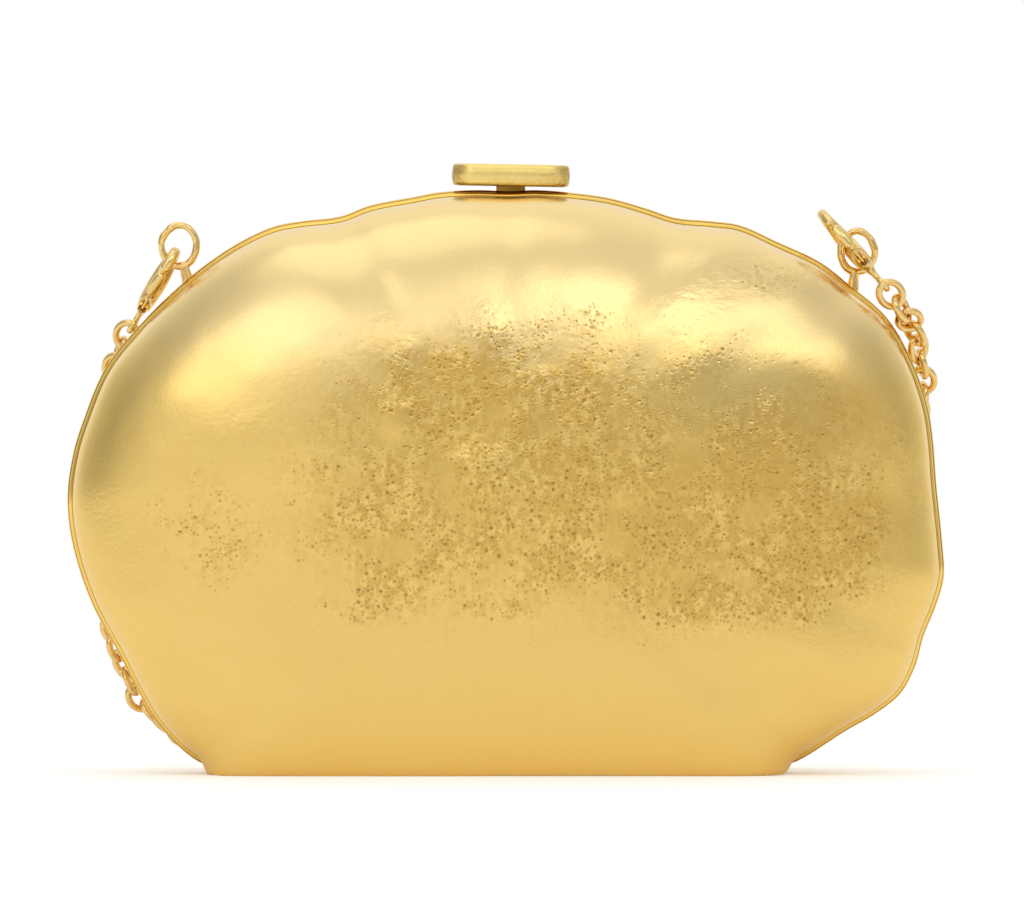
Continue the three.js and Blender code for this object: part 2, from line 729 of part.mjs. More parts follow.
backHalf.add(
  mesh('back_shell', shellGeometry(1, backDents), metal(hammeredGold, 0.34)),
  mesh('back_lining', liningGeometry(1, backDents), cloth(liningCloth)),
  mesh('back_rim', cut(rimGeometry(1, 0), latchSlot()), metal(polishedGold, 0.2)),
  mesh('back_hinge_leaf', hingeLeafGeometry(1), metal(polishedGold, 0.35)),
  mesh('hinge_pin', hingePinGeometry(), metal(springSteel, 0.35)),
  mesh('latch_guide', guideBoxGeometry(), metal(satinGold, 0.4)),
  mesh('latch_spring', latchSpringGeometry(), metal(springSteel, 0.35)),
  mesh('left_eye', eyeGeometry(eyes.left), metal(linkGold, 0.22)),
  mesh('right_eye', eyeGeometry(eyes.right), metal(linkGold, 0.22)),
  clawGroup('left'),
  clawGroup('right'),
  mesh('chain', chainGeometry(), metal(linkGold, 0.25)),
);

frontHalf.add(
  mesh('front_shell', shellGeometry(-1, frontDents), metal(hammeredGold, 0.34)),
  mesh('front_lining', liningGeometry(-1, frontDents), cloth(liningCloth)),
  mesh('front_rim', rimGeometry(-1, frontRimStep), metal(polishedGold, 0.2)),
  mesh('front_hinge_leaf', hingeLeafGeometry(-1), metal(polishedGold, 0.35)),
  mesh('latch_catch', catchGeometry(), metal(satinGold, 0.4)),
);

const knob = mesh('push_knob', knobGeometry(), metal(satinGold, 0.38));
knob.position.set(knobX, latchY, knobBottom);
knob.rotation.y = degToRad(knobTilt);
bag.add(knob, mesh('latch_plate', latchPlateGeometry(), metal(satinGold, 0.4)));

export default bag;
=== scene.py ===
# Clutch bag: the looks of a hammered gold-plated evening clutch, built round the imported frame.
# +Z is up and the front faces -Y. The camera, the floor and the light are in metres, and the
# bag's own sizes are in millimetres until MM turns them into metres.

import math

import bpy
import numpy as np
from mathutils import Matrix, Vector, noise


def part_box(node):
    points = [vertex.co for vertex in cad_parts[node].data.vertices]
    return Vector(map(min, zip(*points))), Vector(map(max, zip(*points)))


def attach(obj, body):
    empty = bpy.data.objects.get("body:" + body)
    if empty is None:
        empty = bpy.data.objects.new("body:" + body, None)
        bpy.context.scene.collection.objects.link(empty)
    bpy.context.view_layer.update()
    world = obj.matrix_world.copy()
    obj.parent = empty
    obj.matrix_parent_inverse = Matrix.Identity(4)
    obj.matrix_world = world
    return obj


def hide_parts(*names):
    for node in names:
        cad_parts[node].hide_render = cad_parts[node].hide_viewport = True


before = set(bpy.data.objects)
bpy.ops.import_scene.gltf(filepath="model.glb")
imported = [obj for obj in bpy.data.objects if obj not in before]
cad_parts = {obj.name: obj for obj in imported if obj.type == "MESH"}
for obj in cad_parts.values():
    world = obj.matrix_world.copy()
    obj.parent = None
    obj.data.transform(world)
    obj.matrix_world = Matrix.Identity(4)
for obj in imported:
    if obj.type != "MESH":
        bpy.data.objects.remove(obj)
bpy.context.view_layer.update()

MM = 0.001

# Camera, in metres
CAMERA_TARGET = (0.0015, 0.0, 0.0712)
CAMERA_DISTANCE = 3.0
CAMERA_ELEVATION = math.radians(0.5)
VIEW_WIDTH = 0.2335
SENSOR_WIDTH = 36.0

# Bag, in millimetres: the same sizes as the frame's
BAG_SIZE = (200.0, 133.0)
BAG_DEPTH = 60.0
DRAWN_SIZE = (200.1, 133.1)
OUTLINE = [
    (52.4, 0), (60.8, 0.8), (66.5, 2.6), (77.8, 9.6), (84.4, 13.4), (90.2, 18.1),
    (93.6, 24.4), (95.5, 31.3), (98.2, 37.9), (100.1, 44.8), (99.8, 52.0), (98.4, 66.0),
    (97.6, 76.3), (96.5, 83.2), (93.0, 93.6), (87.0, 104.1), (78.6, 111.4), (71.8, 116.7),
    (62.5, 121.1), (53.4, 125.1), (47.0, 126.0), (38.7, 126.8), (31.9, 129.0), (23.6, 131.3),
    (14.1, 132.6), (7.0, 133.1), (0.8, 132.9), (-6.9, 133.1), (-15.1, 132.6), (-21.1, 131.5),
    (-30.9, 129.6), (-37.7, 127.1), (-46.7, 126.0), (-52.8, 124.8), (-60.5, 121.3),
    (-68.7, 115.9), (-76.5, 109.3), (-84.1, 101.6), (-91.4, 92.3), (-96.1, 81.3),
    (-98.7, 72.9), (-100.0, 62.6), (-98.8, 52.1), (-94.5, 38.9), (-88.3, 27.3),
    (-84.2, 19.3), (-79.9, 12.0), (-73.0, 4.6), (-67.0, 1.1), (-58.8, 0),
]
CROWN = (0.0, 61.95)
SIDE_ROUNDNESS = 2.4
BASE_ROUNDNESS = 3.5
BOXY_HEIGHT = 62.0
BOXY_FULL_SHARE = 0.9
BASE_BLEND_HEIGHT = 3.0
BASE_DROP = 5.2
BOWL_WALL = 1.0
RIM_REVEAL = 1.4
RIM_NEAR_Y = 0.15
RIM_DEPTH = 3.0
RIM_WIDTH = 3.8
FRONT_RIM_STEP = 0.5
RIM_BASE_LIFT = 0.3
BOWL_EDGE_Y = 3.45
LINING_INSET = 1.7
LINING_THICKNESS = 0.7
HINGE_AXIS_HEIGHT = 1.9
RELIEF_HALF_WIDTH = 1.5

# The chain's route from the right claw to the left one, in millimetres, as in the frame
CHAIN_ROUTE = [
    (87.8, -2.8, 109.2), (90.4, -1.2, 105.9), (92.9, 3.2, 101.9), (94.3, 6.9, 97.1),
    (95.3, 9.8, 92.6), (95.6, 12.8, 87.2), (94.8, 16.0, 80.0), (94.6, 18.9, 70.0),
    (94.1, 21.3, 59.0), (92.6, 23.3, 47.0), (90.2, 25.4, 35.5), (86.0, 27.6, 25.0),
    (80.0, 29.8, 15.6), (72.0, 31.6, 8.6), (62.5, 33.0, 4.6), (51.0, 34.2, 3.56),
    (36.0, 36.0, 3.55), (18.0, 38.6, 3.55), (0.0, 38.8, 3.55), (-18.0, 36.2, 3.55),
    (-36.0, 34.4, 3.55), (-50.0, 34.0, 3.56), (-61.5, 33.2, 4.3), (-71.5, 31.8, 6.6),
    (-79.6, 30.0, 11.6), (-85.6, 28.2, 19.0), (-89.2, 26.6, 28.6), (-90.8, 25.2, 40.0),
    (-91.4, 23.8, 52.0), (-91.6, 22.0, 64.0), (-91.2, 19.6, 76.0), (-90.5, 16.8, 86.6),
    (-89.0, 14.2, 94.4), (-86.7, 11.8, 99.9),
]
LINK_LENGTH = 7.8
LINK_WIDTH = 6.8
LINK_WIRE = 1.65
LINK_PITCH = 4.35
LINK_STEPS = 28
LINK_SIDES = 10

# How far either side of a link's centre its direction is taken, in millimetres, and how far, in
# radians, it turns away from a quarter, by a sine that moves on by the last value at each link
LINK_REACH = 1.5
LINK_PLAY = 0.55
LINK_PLAY_STEP = 1.3


# Numbers and curves

def smoothstep(value, low, high):
    """0 up to low, 1 from high on, and a smooth rise between them."""
    share = np.clip((np.asarray(value, float) - low) / (high - low), 0, 1)
    return share * share * (3 - 2 * share)


def spline(points, per_span=24):
    """A centripetal Catmull-Rom curve through the points, as many short steps."""
    p = np.array(points, float)
    p = np.vstack([2 * p[0] - p[1], p, 2 * p[-1] - p[-2]])
    t = np.linspace(0, 1, per_span, endpoint=False)[:, None]
    spans = []
    for a, b, c, d in zip(p, p[1:], p[2:], p[3:]):
        ab, bc, cd = (math.sqrt(np.linalg.norm(u - v)) for u, v in ((b, a), (c, b), (d, c)))
        leave = bc * ((b - a) / ab - (c - a) / (ab + bc) + (c - b) / bc)
        arrive = bc * ((c - b) / bc - (d - b) / (bc + cd) + (d - c) / cd)
        cube = 2 * b - 2 * c + leave + arrive
        square = -3 * b + 3 * c - 2 * leave - arrive
        spans.append(((cube * t + square) * t + leave) * t + b)
    return np.vstack([*spans, p[-2:-1]])


def lengths_along(points):
    """How far along the line each of its points lies."""
    steps = np.linalg.norm(np.diff(points, axis=0), axis=1)
    return np.concatenate([[0], np.cumsum(steps)])


def evenly(points, count):
    """The same line as count points the same distance apart, both ends among them."""
    along = lengths_along(points)
    wanted = np.linspace(0, along[-1], count)
    return np.column_stack([np.interp(wanted, along, column) for column in points.T])


def outline_points(count):
    """The bag's outline in millimetres, anticlockwise from the right end of the base."""
    scale = np.array(BAG_SIZE) / np.array(DRAWN_SIZE)
    side = spline(np.array(OUTLINE, float) * scale)
    side_length = np.linalg.norm(np.diff(side, axis=0), axis=1).sum()
    base_length = np.linalg.norm(side[-1] - side[0])
    base_count = round(count * base_length / (side_length + base_length))
    side = evenly(side, count - base_count + 1)
    base = np.linspace(side[-1], side[0], base_count + 1)
    return np.vstack([side, base[1:-1]])


def outward(outline):
    """The direction out of the closed outline at each of its points."""
    along = np.roll(outline, -1, axis=0) - np.roll(outline, 1, axis=0)
    along /= np.linalg.norm(along, axis=1)[:, None]
    return np.column_stack([along[:, 1], -along[:, 0]])


# How far apart the noise of two seeds is taken
SEED_SHIFT = 17.3


def noise_at(points, size, seed, octaves=1):
    """Perlin noise from about -1 to 1, on points in millimetres, with features of that size."""
    total = np.zeros(len(points))
    for octave in range(octaves):
        scaled = points * (2 ** octave / size) + seed * SEED_SHIFT
        total += np.array([noise.noise(Vector(p)) for p in scaled]) / 2 ** octave
    return total


# Meshes and pieces

def new_mesh(name, points_mm, faces):
    mesh = bpy.data.meshes.new(name)
    mesh.from_pydata((np.asarray(points_mm, float) * MM).tolist(), [], faces)
    mesh.update()
    return mesh


def new_object(name, mesh):
    made = bpy.data.objects.new(name, mesh)
    bpy.context.scene.collection.objects.link(made)
    return made


def set_layer(made, name, values):
    """Gives each point of the mesh a value that its material reads by the layer's name."""
    layer = made.data.attributes.new(name, "FLOAT", "POINT")
    layer.data.foreach_set("value", np.asarray(values, np.float32))


def piece(made, body, slot, material, *nodes, crease=50):
    """Finishes a piece: its material, its body and the nodes that it stands for. The slot is not used.
    """
    made.data.materials.clear()
    made.data.materials.append(material)
    made.data.shade_smooth()
    made.data.set_sharp_from_angle(angle=math.radians(crease))
    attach(made, body)
    if nodes:
        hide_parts(*nodes)
    return made


def grid_faces(rows, columns, closed_rows=False):
    """Quads over rows of points, each row closed on itself."""
    faces = []
    for row in range(rows if closed_rows else rows - 1):
        below, above = row * columns, ((row + 1) % rows) * columns
        for i in range(columns):
            j = (i + 1) % columns
            faces.append((below + i, below + j, above + j, above + i))
    return faces


def joined(parts):
    """One list of points and one of faces from several pairs of them."""
    points, faces, start = [], [], 0
    for part_points, part_faces in parts:
        points.append(part_points)
        faces += [tuple(start + v for v in face) for face in part_faces]
        start += len(part_points)
    return np.vstack(points), faces


def applied(made):
    """The object with its modifiers worked into its mesh."""
    depsgraph = bpy.context.evaluated_depsgraph_get()
    mesh = bpy.data.meshes.new_from_object(made.evaluated_get(depsgraph))
    made.modifiers.clear()
    made.data = mesh
    return made


def melted(name, parts, voxel, rounds):
    """Points in millimetres and faces of several overlapping solids, melted into one skin."""
    points, faces = joined(parts)
    mesh = bpy.data.meshes.new(name)
    mesh.from_pydata(points.tolist(), [], faces)
    made = new_object(name, mesh)
    remesh = made.modifiers.new("Remesh", "REMESH")
    remesh.mode = "VOXEL"
    remesh.voxel_size = voxel
    soften = made.modifiers.new("Soften", "SMOOTH")
    soften.factor = 0.5
    soften.iterations = rounds
    return applied(made)


def capped(rings, columns):
    """The faces of a tube of rings, with its two ends closed."""
    faces = grid_faces(rings, columns)
    faces.append(tuple(reversed(range(columns))))
    faces.append(tuple(range((rings - 1) * columns, rings * columns)))
    return faces


# A direction that no tube starts in
OFF_LINE = (0.31, 0.87, 0.38)


def tube_points(line, radius, sides, closed):
    """Rings of points round a line: radius is one number, or one for each point of the line."""
    line = np.asarray(line, float)
    if closed:
        along = np.roll(line, -1, axis=0) - np.roll(line, 1, axis=0)
    else:
        along = np.gradient(line, axis=0)
    along /= np.linalg.norm(along, axis=1)[:, None]
    side = np.cross(along[0], OFF_LINE)
    rings = []
    turn = np.linspace(0, 2 * math.pi, sides, endpoint=False)[:, None]
    radii = np.broadcast_to(radius, len(line))
    for point, direction, r in zip(line, along, radii):
        side = side - direction * (side @ direction)
        side /= np.linalg.norm(side)
        other = np.cross(direction, side)
        rings.append(point + r * (np.cos(turn) * side + np.sin(turn) * other))
    return np.vstack(rings)


def looped_tube(line, radius, sides):
    """A tube round a line that closes on itself, as points and faces."""
    return tube_points(line, radius, sides, closed=True), grid_faces(len(line), sides, closed_rows=True)


# Camera, floor and light

def make_camera():
    camera = bpy.data.objects.new("camera", bpy.data.cameras.new("camera"))
    bpy.context.scene.collection.objects.link(camera)
    back = Vector((0, -math.cos(CAMERA_ELEVATION), math.sin(CAMERA_ELEVATION)))
    camera.location = Vector(CAMERA_TARGET) + back * CAMERA_DISTANCE
    camera.rotation_euler = (-back).to_track_quat("-Z", "Y").to_euler()
    camera.data.sensor_width = SENSOR_WIDTH
    camera.data.lens = SENSOR_WIDTH * CAMERA_DISTANCE / VIEW_WIDTH
    camera.data.clip_start = 0.05
    camera.data.clip_end = 50
    bpy.context.scene.camera = camera


class Nodes:
    """Short ways to add and link the nodes of a material or of the world."""

    def __init__(self, tree):
        self.tree = tree

    def add(self, kind, inputs=None, **settings):
        made = self.tree.nodes.new(kind)
        for name, value in settings.items():
            setattr(made, name, value)
        for key, value in (inputs or {}).items():
            self.put(made.inputs[key], value)
        return made

    def put(self, socket, value):
        if isinstance(value, bpy.types.NodeSocket):
            self.tree.links.new(value, socket)
        else:
            socket.default_value = value

    def math(self, operation, *values):
        made = self.add("ShaderNodeMath", operation=operation)
        for socket, value in zip(made.inputs, values):
            self.put(socket, value)
        return made.outputs[0]

    def total(self, *terms):
        """The sum of products, each a pair of a value and its weight."""
        result = 0.0
        for value, weight in terms:
            result = self.math("MULTIPLY_ADD", value, weight, result)
        return result

    def ramp(self, value, low, high, to_low=0.0, to_high=1.0):
        made = self.add("ShaderNodeMapRange", interpolation_type="SMOOTHSTEP", inputs={
            "Value": value, "From Min": low, "From Max": high, "To Min": to_low, "To Max": to_high,
        })
        return made.outputs["Result"]

    def mix(self, share, first, second):
        made = self.add("ShaderNodeMix", data_type="RGBA")
        for socket, value in zip((made.inputs[0], made.inputs[6], made.inputs[7]),
                                 (share, first, second)):
            self.put(socket, value)
        return made.outputs[2]

    def layer(self, name):
        return self.add("ShaderNodeAttribute", attribute_name=name).outputs["Fac"]


# Brighter and darker parts of the light tent: azimuth from the viewer's side towards +X,
# elevation, the angles from there where each is full and where it ends, and its strength
TENT_BRIGHTNESS = 0.70
TENT_PARTS = [
    (0, 90, 20, 75, 0.10),
    (-30, 28, 4, 19, 0.85),
    (-4, 26, 3, 15, 0.30),
    (14, 32, 3, 15, 1.20),
    (38, 29, 3, 14, 0.85),
    (22, 2, 8, 36, -0.26),
    (-95, 22, 12, 50, -0.30),
    (100, 22, 12, 50, -0.20),
    (180, 20, 40, 100, 0.22),
]


def aimed(azimuth, elevation):
    """The direction at these angles: azimuth 0 is the viewer's side."""
    a, e = math.radians(azimuth), math.radians(elevation)
    return Vector((math.sin(a) * math.cos(e), -math.cos(a) * math.cos(e), math.sin(e)))


def make_world():
    world = bpy.data.worlds.new("tent")
    world.use_nodes = True
    bpy.context.scene.world = world
    tree = world.node_tree
    tree.nodes.clear()
    n = Nodes(tree)
    direction = n.add("ShaderNodeTexCoord").outputs["Generated"]
    light = TENT_BRIGHTNESS
    for azimuth, elevation, full, end, strength in TENT_PARTS:
        along = n.add("ShaderNodeVectorMath", {0: direction}, operation="DOT_PRODUCT")
        along.inputs[1].default_value = aimed(azimuth, elevation)
        part = n.ramp(along.outputs["Value"], math.cos(math.radians(end)),
                      math.cos(math.radians(full)), 0, strength)
        light = n.math("ADD", part, light)
    seen = n.add("ShaderNodeLightPath").outputs["Is Camera Ray"]
    strength = n.add("ShaderNodeMix", {0: seen, 2: light, 3: 1.0}, data_type="FLOAT").outputs[0]
    background = n.add("ShaderNodeBackground", {"Color": (1, 1, 1, 1), "Strength": strength})
    n.add("ShaderNodeOutputWorld", {"Surface": background.outputs[0]})


# Floor, in metres. It glows by the lift, and by the glow as well where the camera sees it, and
# between the two distances it turns as white as the air
FLOOR_RADIUS = 12.0
FLOOR_SIDES = 96
FLOOR_FADE = (0.35, 1.2)
FLOOR_GLOW = 0.17
FLOOR_LIFT = 0.11


def make_floor():
    """A pale floor that is as white as the air round it from a little way off."""
    turns = np.linspace(0, 2 * math.pi, FLOOR_SIDES, endpoint=False)
    rim = [(FLOOR_RADIUS * math.cos(a), FLOOR_RADIUS * math.sin(a), 0) for a in turns]
    mesh = bpy.data.meshes.new("floor")
    mesh.from_pydata(rim, [], [tuple(range(len(rim)))])
    floor = new_object("floor", mesh)
    material = bpy.data.materials.new("pale_floor")
    material.use_nodes = True
    n = Nodes(material.node_tree)
    shader = n.tree.nodes["Principled BSDF"]
    shader.inputs["Base Color"].default_value = (0.94, 0.94, 0.93, 1)
    shader.inputs["Roughness"].default_value = 0.75
    shader.inputs["Specular IOR Level"].default_value = 0.2
    shader.inputs["Emission Color"].default_value = (1, 1, 1, 1)
    seen = n.add("ShaderNodeLightPath").outputs["Is Camera Ray"]
    glow = n.math("MULTIPLY_ADD", seen, FLOOR_GLOW, FLOOR_LIFT)
    n.put(shader.inputs["Emission Strength"], glow)
    place = n.add("ShaderNodeTexCoord").outputs["Object"]
    away = n.add("ShaderNodeVectorMath", {0: place}, operation="LENGTH").outputs["Value"]
    glow = n.add("ShaderNodeEmission", {"Strength": 1.0})
    both = n.add("ShaderNodeMixShader", {
        0: n.ramp(away, *FLOOR_FADE), 1: shader.outputs[0], 2: glow.outputs[0],
    })
    n.put(n.tree.nodes["Material Output"].inputs["Surface"], both.outputs[0])
    floor.data.materials.append(material)


def make_light(name, place, target, size, power):
    light = bpy.data.lights.new(name, "AREA")
    light.shape = "DISK"
    light.size = size
    light.energy = power
    made = bpy.data.objects.new(name, light)
    bpy.context.scene.collection.objects.link(made)
    made.location = place
    made.rotation_euler = (Vector(target) - Vector(place)).to_track_quat("-Z", "Y").to_euler()


make_camera()
make_world()
make_floor()
make_light("overhead", place=(-0.25, -0.35, 1.3), target=(0, 0, 0.05), size=0.9, power=0.8)
bpy.context.scene.view_settings.view_transform = "Standard"


# Materials

def metal_nodes(name, roughness):
    """A material and its nodes, all metal and of one roughness until its function changes that."""
    material = bpy.data.materials.new(name)
    material.use_nodes = True
    n = Nodes(material.node_tree)
    n.shader = n.tree.nodes["Principled BSDF"]
    n.shader.inputs["Metallic"].default_value = 1.0
    n.shader.inputs["Roughness"].default_value = roughness
    n.place = n.add("ShaderNodeTexCoord").outputs["Object"]
    return material, n


def noise_node(n, size_mm, detail, vector=None):
    made = n.add("ShaderNodeTexNoise", {"Scale": 1 / (size_mm * MM), "Detail": detail})
    n.put(made.inputs["Vector"], vector or n.place)
    return made.outputs["Fac"]


def stretched(n, x=1.0, z=1.0):
    """The place with x or z scaled down, which draws a pattern out that way."""
    made = n.add("ShaderNodeMapping", {"Vector": n.place, "Scale": (x, 1.0, z)})
    return made.outputs["Vector"]


def relief(n, *heights):
    """Bumps the shader by a sum of heights, each a pair of a value and its millimetres."""
    made = n.add("ShaderNodeBump", {"Height": n.total(*heights), "Distance": MM, "Strength": 1.0})
    n.put(n.shader.inputs["Normal"], made.outputs["Normal"])


def hollows(n, place, cell_mm, amount, chances, inner, outer):
    """Round hollows, at most one to a cell, and each point's distance from its cell's centre.

    A cell's hollow deepens while the amount, less the cell's own random share, goes from the
    first of the chances to the second. It is full within the inner distance, and it ends at
    one between the two outer ones, in cells.
    """
    made = n.add("ShaderNodeTexVoronoi", {"Vector": place, "Scale": 1 / (cell_mm * MM)})
    distance = made.outputs["Distance"]
    chance, size = n.add("ShaderNodeSeparateColor", {0: made.outputs["Color"]}).outputs[:2]
    held = n.ramp(n.math("SUBTRACT", amount, chance), *chances)
    deep = n.ramp(distance, inner, n.ramp(size, 0, 1, *outer), 1, 0)
    return n.math("MULTIPLY", held, deep), distance


GOLD_BRIGHT = (0.95, 0.68, 0.22, 1)
GOLD_WARM = (0.93, 0.64, 0.19, 1)
# The paler gold of the painted highlight over the upper part of the bowls
GOLD_PAINTED_HIGHLIGHT = (0.93, 0.71, 0.33, 1)
# Browner gold for patina and for the painted dark reflection of the surroundings
GOLD_PATINA_AND_PAINTED_REFLECTION = (0.77, 0.50, 0.13, 1)
PIT_BROWN = (0.36, 0.20, 0.04, 1)

# Marks in the hammered metal, in millimetres: the cells that hold small dimples and larger pits,
# how far and how finely the cells are bent, and how large the mottles, the strokes, the fine
# grain and the crinkles are
DIMPLE_CELL = 0.95
PIT_CELL = 1.5
CELL_BEND = 0.4
CELL_BEND_SIZE = 1.3
MOTTLE_SIZE = 1.7
STROKE_SIZE = 5
FINE_SIZE = 0.7
CRINKLE_SIZE = 1.8


def hammered_gold():
    """Satin gold plate over beaten metal: pitted, grained and crinkled, browner in places by patina and
    a painted dark reflection, and paler above by a painted highlight.
    """
    material, n = metal_nodes("hammered_gold", 0.3)
    pitting, patina_and_painted_reflection, grain = n.layer("pitting"), n.layer("patina_and_painted_reflection"), n.layer("grain")
    waves = n.add("ShaderNodeTexNoise", {
        "Vector": n.place, "Scale": 1 / (CELL_BEND_SIZE * MM), "Detail": 1.0,
    })
    bent = n.add("ShaderNodeVectorMath", {
        0: waves.outputs["Color"], 1: [CELL_BEND * MM] * 3, 2: n.place,
    }, operation="MULTIPLY_ADD").outputs[0]
    often = n.math("MULTIPLY", pitting, 1.9)
    dimple, distance = hollows(n, bent, DIMPLE_CELL, often, (-0.1, 0.7), 0.05, (0.4, 0.62))
    pit, _ = hollows(n, bent, PIT_CELL, pitting, (0.0, 0.35), 0.04, (0.3, 0.52))
    mottle = noise_node(n, MOTTLE_SIZE, 3, stretched(n, z=0.75))
    strokes = noise_node(n, STROKE_SIZE, 2, stretched(n, x=0.3))
    tone = n.mix(strokes, GOLD_BRIGHT, GOLD_WARM)
    # Painted highlight: the pale layer turns the gold paler over the upper part
    tone = n.mix(n.layer("pale"), tone, GOLD_PAINTED_HIGHLIGHT)
    # Mottled stain where pitted, and patina with a painted dark reflection where that layer says
    stain_and_painted_reflection = n.total((n.ramp(mottle, 0.36, 0.60, -0.55, 0.75), pitting), (patina_and_painted_reflection, 1.0))
    tone = n.mix(stain_and_painted_reflection, tone, GOLD_PATINA_AND_PAINTED_REFLECTION)
    dark = n.math("MAXIMUM", n.math("MULTIPLY", dimple, 0.62), n.math("MULTIPLY", pit, 0.9))
    tone = n.mix(dark, tone, PIT_BROWN)
    n.put(n.shader.inputs["Base Color"], tone)
    fine = noise_node(n, FINE_SIZE, 1)
    rough = n.total((fine, 0.06), (patina_and_painted_reflection, 0.05), (grain, 0.16))
    n.put(n.shader.inputs["Roughness"], n.math("ADD", rough, 0.19))
    crinkled = noise_node(n, CRINKLE_SIZE, 2, stretched(n, x=0.6))
    relief(
        n, (dimple, -0.06), (pit, -0.10), (n.math("MULTIPLY", fine, grain), 0.012),
        (n.math("MULTIPLY", mottle, pitting), 0.22),
        (n.math("MULTIPLY", distance, grain), -0.05),
        (n.math("MULTIPLY", crinkled, n.layer("crinkle")), 0.3),
    )
    return material


def polished_gold():
    """Bright polished plate, with brown painted shade where the layer says."""
    material, n = metal_nodes("polished_gold", 0.16)
    tone = n.mix(noise_node(n, 14, 2), (1.0, 0.70, 0.16, 1), (0.98, 0.59, 0.09, 1))
    # Painted shade: brown where the layer says
    tone = n.mix(n.layer("painted_shade"), tone, (0.34, 0.17, 0.03, 1))
    n.put(n.shader.inputs["Base Color"], tone)
    n.put(n.shader.inputs["Roughness"], n.ramp(noise_node(n, 2.5, 3), 0.3, 0.75, 0.10, 0.20))
    relief(n, (noise_node(n, 2.2, 1), 0.03))
    return material


def satin_gold():
    """Brushed gold plate, browner where the layer paints shade."""
    material, n = metal_nodes("satin_gold", 0.34)
    brush = noise_node(n, 0.35, 2, stretched(n, x=0.03))
    tone = n.mix(noise_node(n, 4, 3), (0.99, 0.77, 0.29, 1), (0.93, 0.68, 0.21, 1))
    speckled = n.ramp(noise_node(n, 0.8, 3), 0.3, 0.65, 0.5, 1.3)
    # Painted shade, browner and speckled where the layer says
    tone = n.mix(n.math("MULTIPLY", n.layer("painted_knob_shade"), speckled), tone, (0.40, 0.24, 0.05, 1))
    n.put(n.shader.inputs["Base Color"], tone)
    n.put(n.shader.inputs["Roughness"], n.ramp(brush, 0.3, 0.7, 0.26, 0.42))
    relief(n, (brush, 0.02), (noise_node(n, 1.5, 2), 0.05))
    return material


def cast_gold():
    """The cast claws: smooth and a little lumpy."""
    material, n = metal_nodes("cast_gold", 0.3)
    tone = n.mix(noise_node(n, 3, 3), (0.95, 0.75, 0.34, 1), (0.80, 0.55, 0.18, 1))
    n.put(n.shader.inputs["Base Color"], tone)
    n.put(n.shader.inputs["Roughness"], n.ramp(noise_node(n, 1.2, 2), 0.3, 0.7, 0.14, 0.26))
    relief(n, (noise_node(n, 3, 0), 0.10))
    return material


def link_gold():
    """Round wire, brighter and browner by turns."""
    material, n = metal_nodes("link_gold", 0.2)
    tone = n.mix(noise_node(n, 3, 3), (0.98, 0.74, 0.34, 1), (0.80, 0.50, 0.15, 1))
    n.put(n.shader.inputs["Base Color"], tone)
    n.put(n.shader.inputs["Roughness"], n.ramp(noise_node(n, 0.9, 2), 0.3, 0.7, 0.08, 0.18))
    relief(n, (noise_node(n, 2.6, 0), 0.12))
    return material


def spring_steel():
    material, n = metal_nodes("spring_steel", 0.3)
    tone = n.mix(noise_node(n, 1.5, 2), (0.62, 0.61, 0.58, 1), (0.45, 0.44, 0.42, 1))
    n.put(n.shader.inputs["Base Color"], tone)
    n.put(n.shader.inputs["Roughness"], n.ramp(noise_node(n, 0.4, 2), 0.3, 0.7, 0.22, 0.4))
    return material


def lining_cloth():
    """A dull gold-brown twill with a short nap."""
    material, n = metal_nodes("lining_cloth", 0.85)
    n.shader.inputs["Metallic"].default_value = 0.0
    n.shader.inputs["Sheen Weight"].default_value = 0.35
    n.shader.inputs["Sheen Roughness"].default_value = 0.5
    warp = n.add("ShaderNodeTexWave", {"Scale": 260.0, "Distortion": 0.6, "Detail": 1.0},
                 bands_direction="DIAGONAL")
    weft = n.add("ShaderNodeTexWave", {"Scale": 330.0, "Distortion": 0.6, "Detail": 1.0},
                 bands_direction="X")
    for wave in (warp, weft):
        n.put(wave.inputs["Vector"], n.place)
    weave = n.math("MULTIPLY", warp.outputs["Fac"], weft.outputs["Fac"])
    tone = n.mix(noise_node(n, 12, 3), (0.34, 0.24, 0.13, 1), (0.27, 0.18, 0.09, 1))
    tone = n.mix(n.math("MULTIPLY", weave, 0.5), tone, (0.46, 0.34, 0.19, 1))
    n.put(n.shader.inputs["Base Color"], tone)
    relief(n, (weave, 0.12))
    return material


HAMMERED = hammered_gold()
POLISHED = polished_gold()
SATIN = satin_gold()
CAST = cast_gold()
LINK = link_gold()
STEEL = spring_steel()
CLOTH = lining_cloth()


# Chain

def chain_path():
    """The middle of the chain, in millimetres."""
    return spline(CHAIN_ROUTE, per_span=8)


def make_chain():
    """Oval links, each turned about a quarter from the last. The end ones hang in the claws."""
    path = chain_path()
    along = lengths_along(path)
    count = round(along[-1] / LINK_PITCH) + 1
    turn = np.linspace(0, 2 * math.pi, LINK_STEPS, endpoint=False)
    straight = (LINK_LENGTH - LINK_WIRE) / 2
    across = (LINK_WIDTH - LINK_WIRE) / 2
    side = np.array([0.0, 1.0, 0.0])
    parts = []
    for k, at in enumerate(np.linspace(0, along[-1], count)):
        centre, before, after = (
            np.array([np.interp(at + shift, along, column) for column in path.T])
            for shift in (0, -LINK_REACH, LINK_REACH)
        )
        ahead = after - before
        ahead /= np.linalg.norm(ahead)
        side = side - ahead * (side @ ahead)
        side /= np.linalg.norm(side)
        other = np.cross(ahead, side)
        play = LINK_PLAY * math.sin(LINK_PLAY_STEP * k) * min(1, k, count - 1 - k)
        twist = (k + 1) * math.pi / 2 + play
        wide = math.cos(twist) * side + math.sin(twist) * other
        line = centre + np.outer(straight * np.cos(turn), ahead)
        line += np.outer(across * np.sin(turn), wide)
        parts.append(looped_tube(line, LINK_WIRE / 2, LINK_SIDES))
    made = new_object("linked_chain", new_mesh("linked_chain", *joined(parts)))
    piece(made, "back_half", "link_gold", LINK, "chain")
    return made, along[-1]


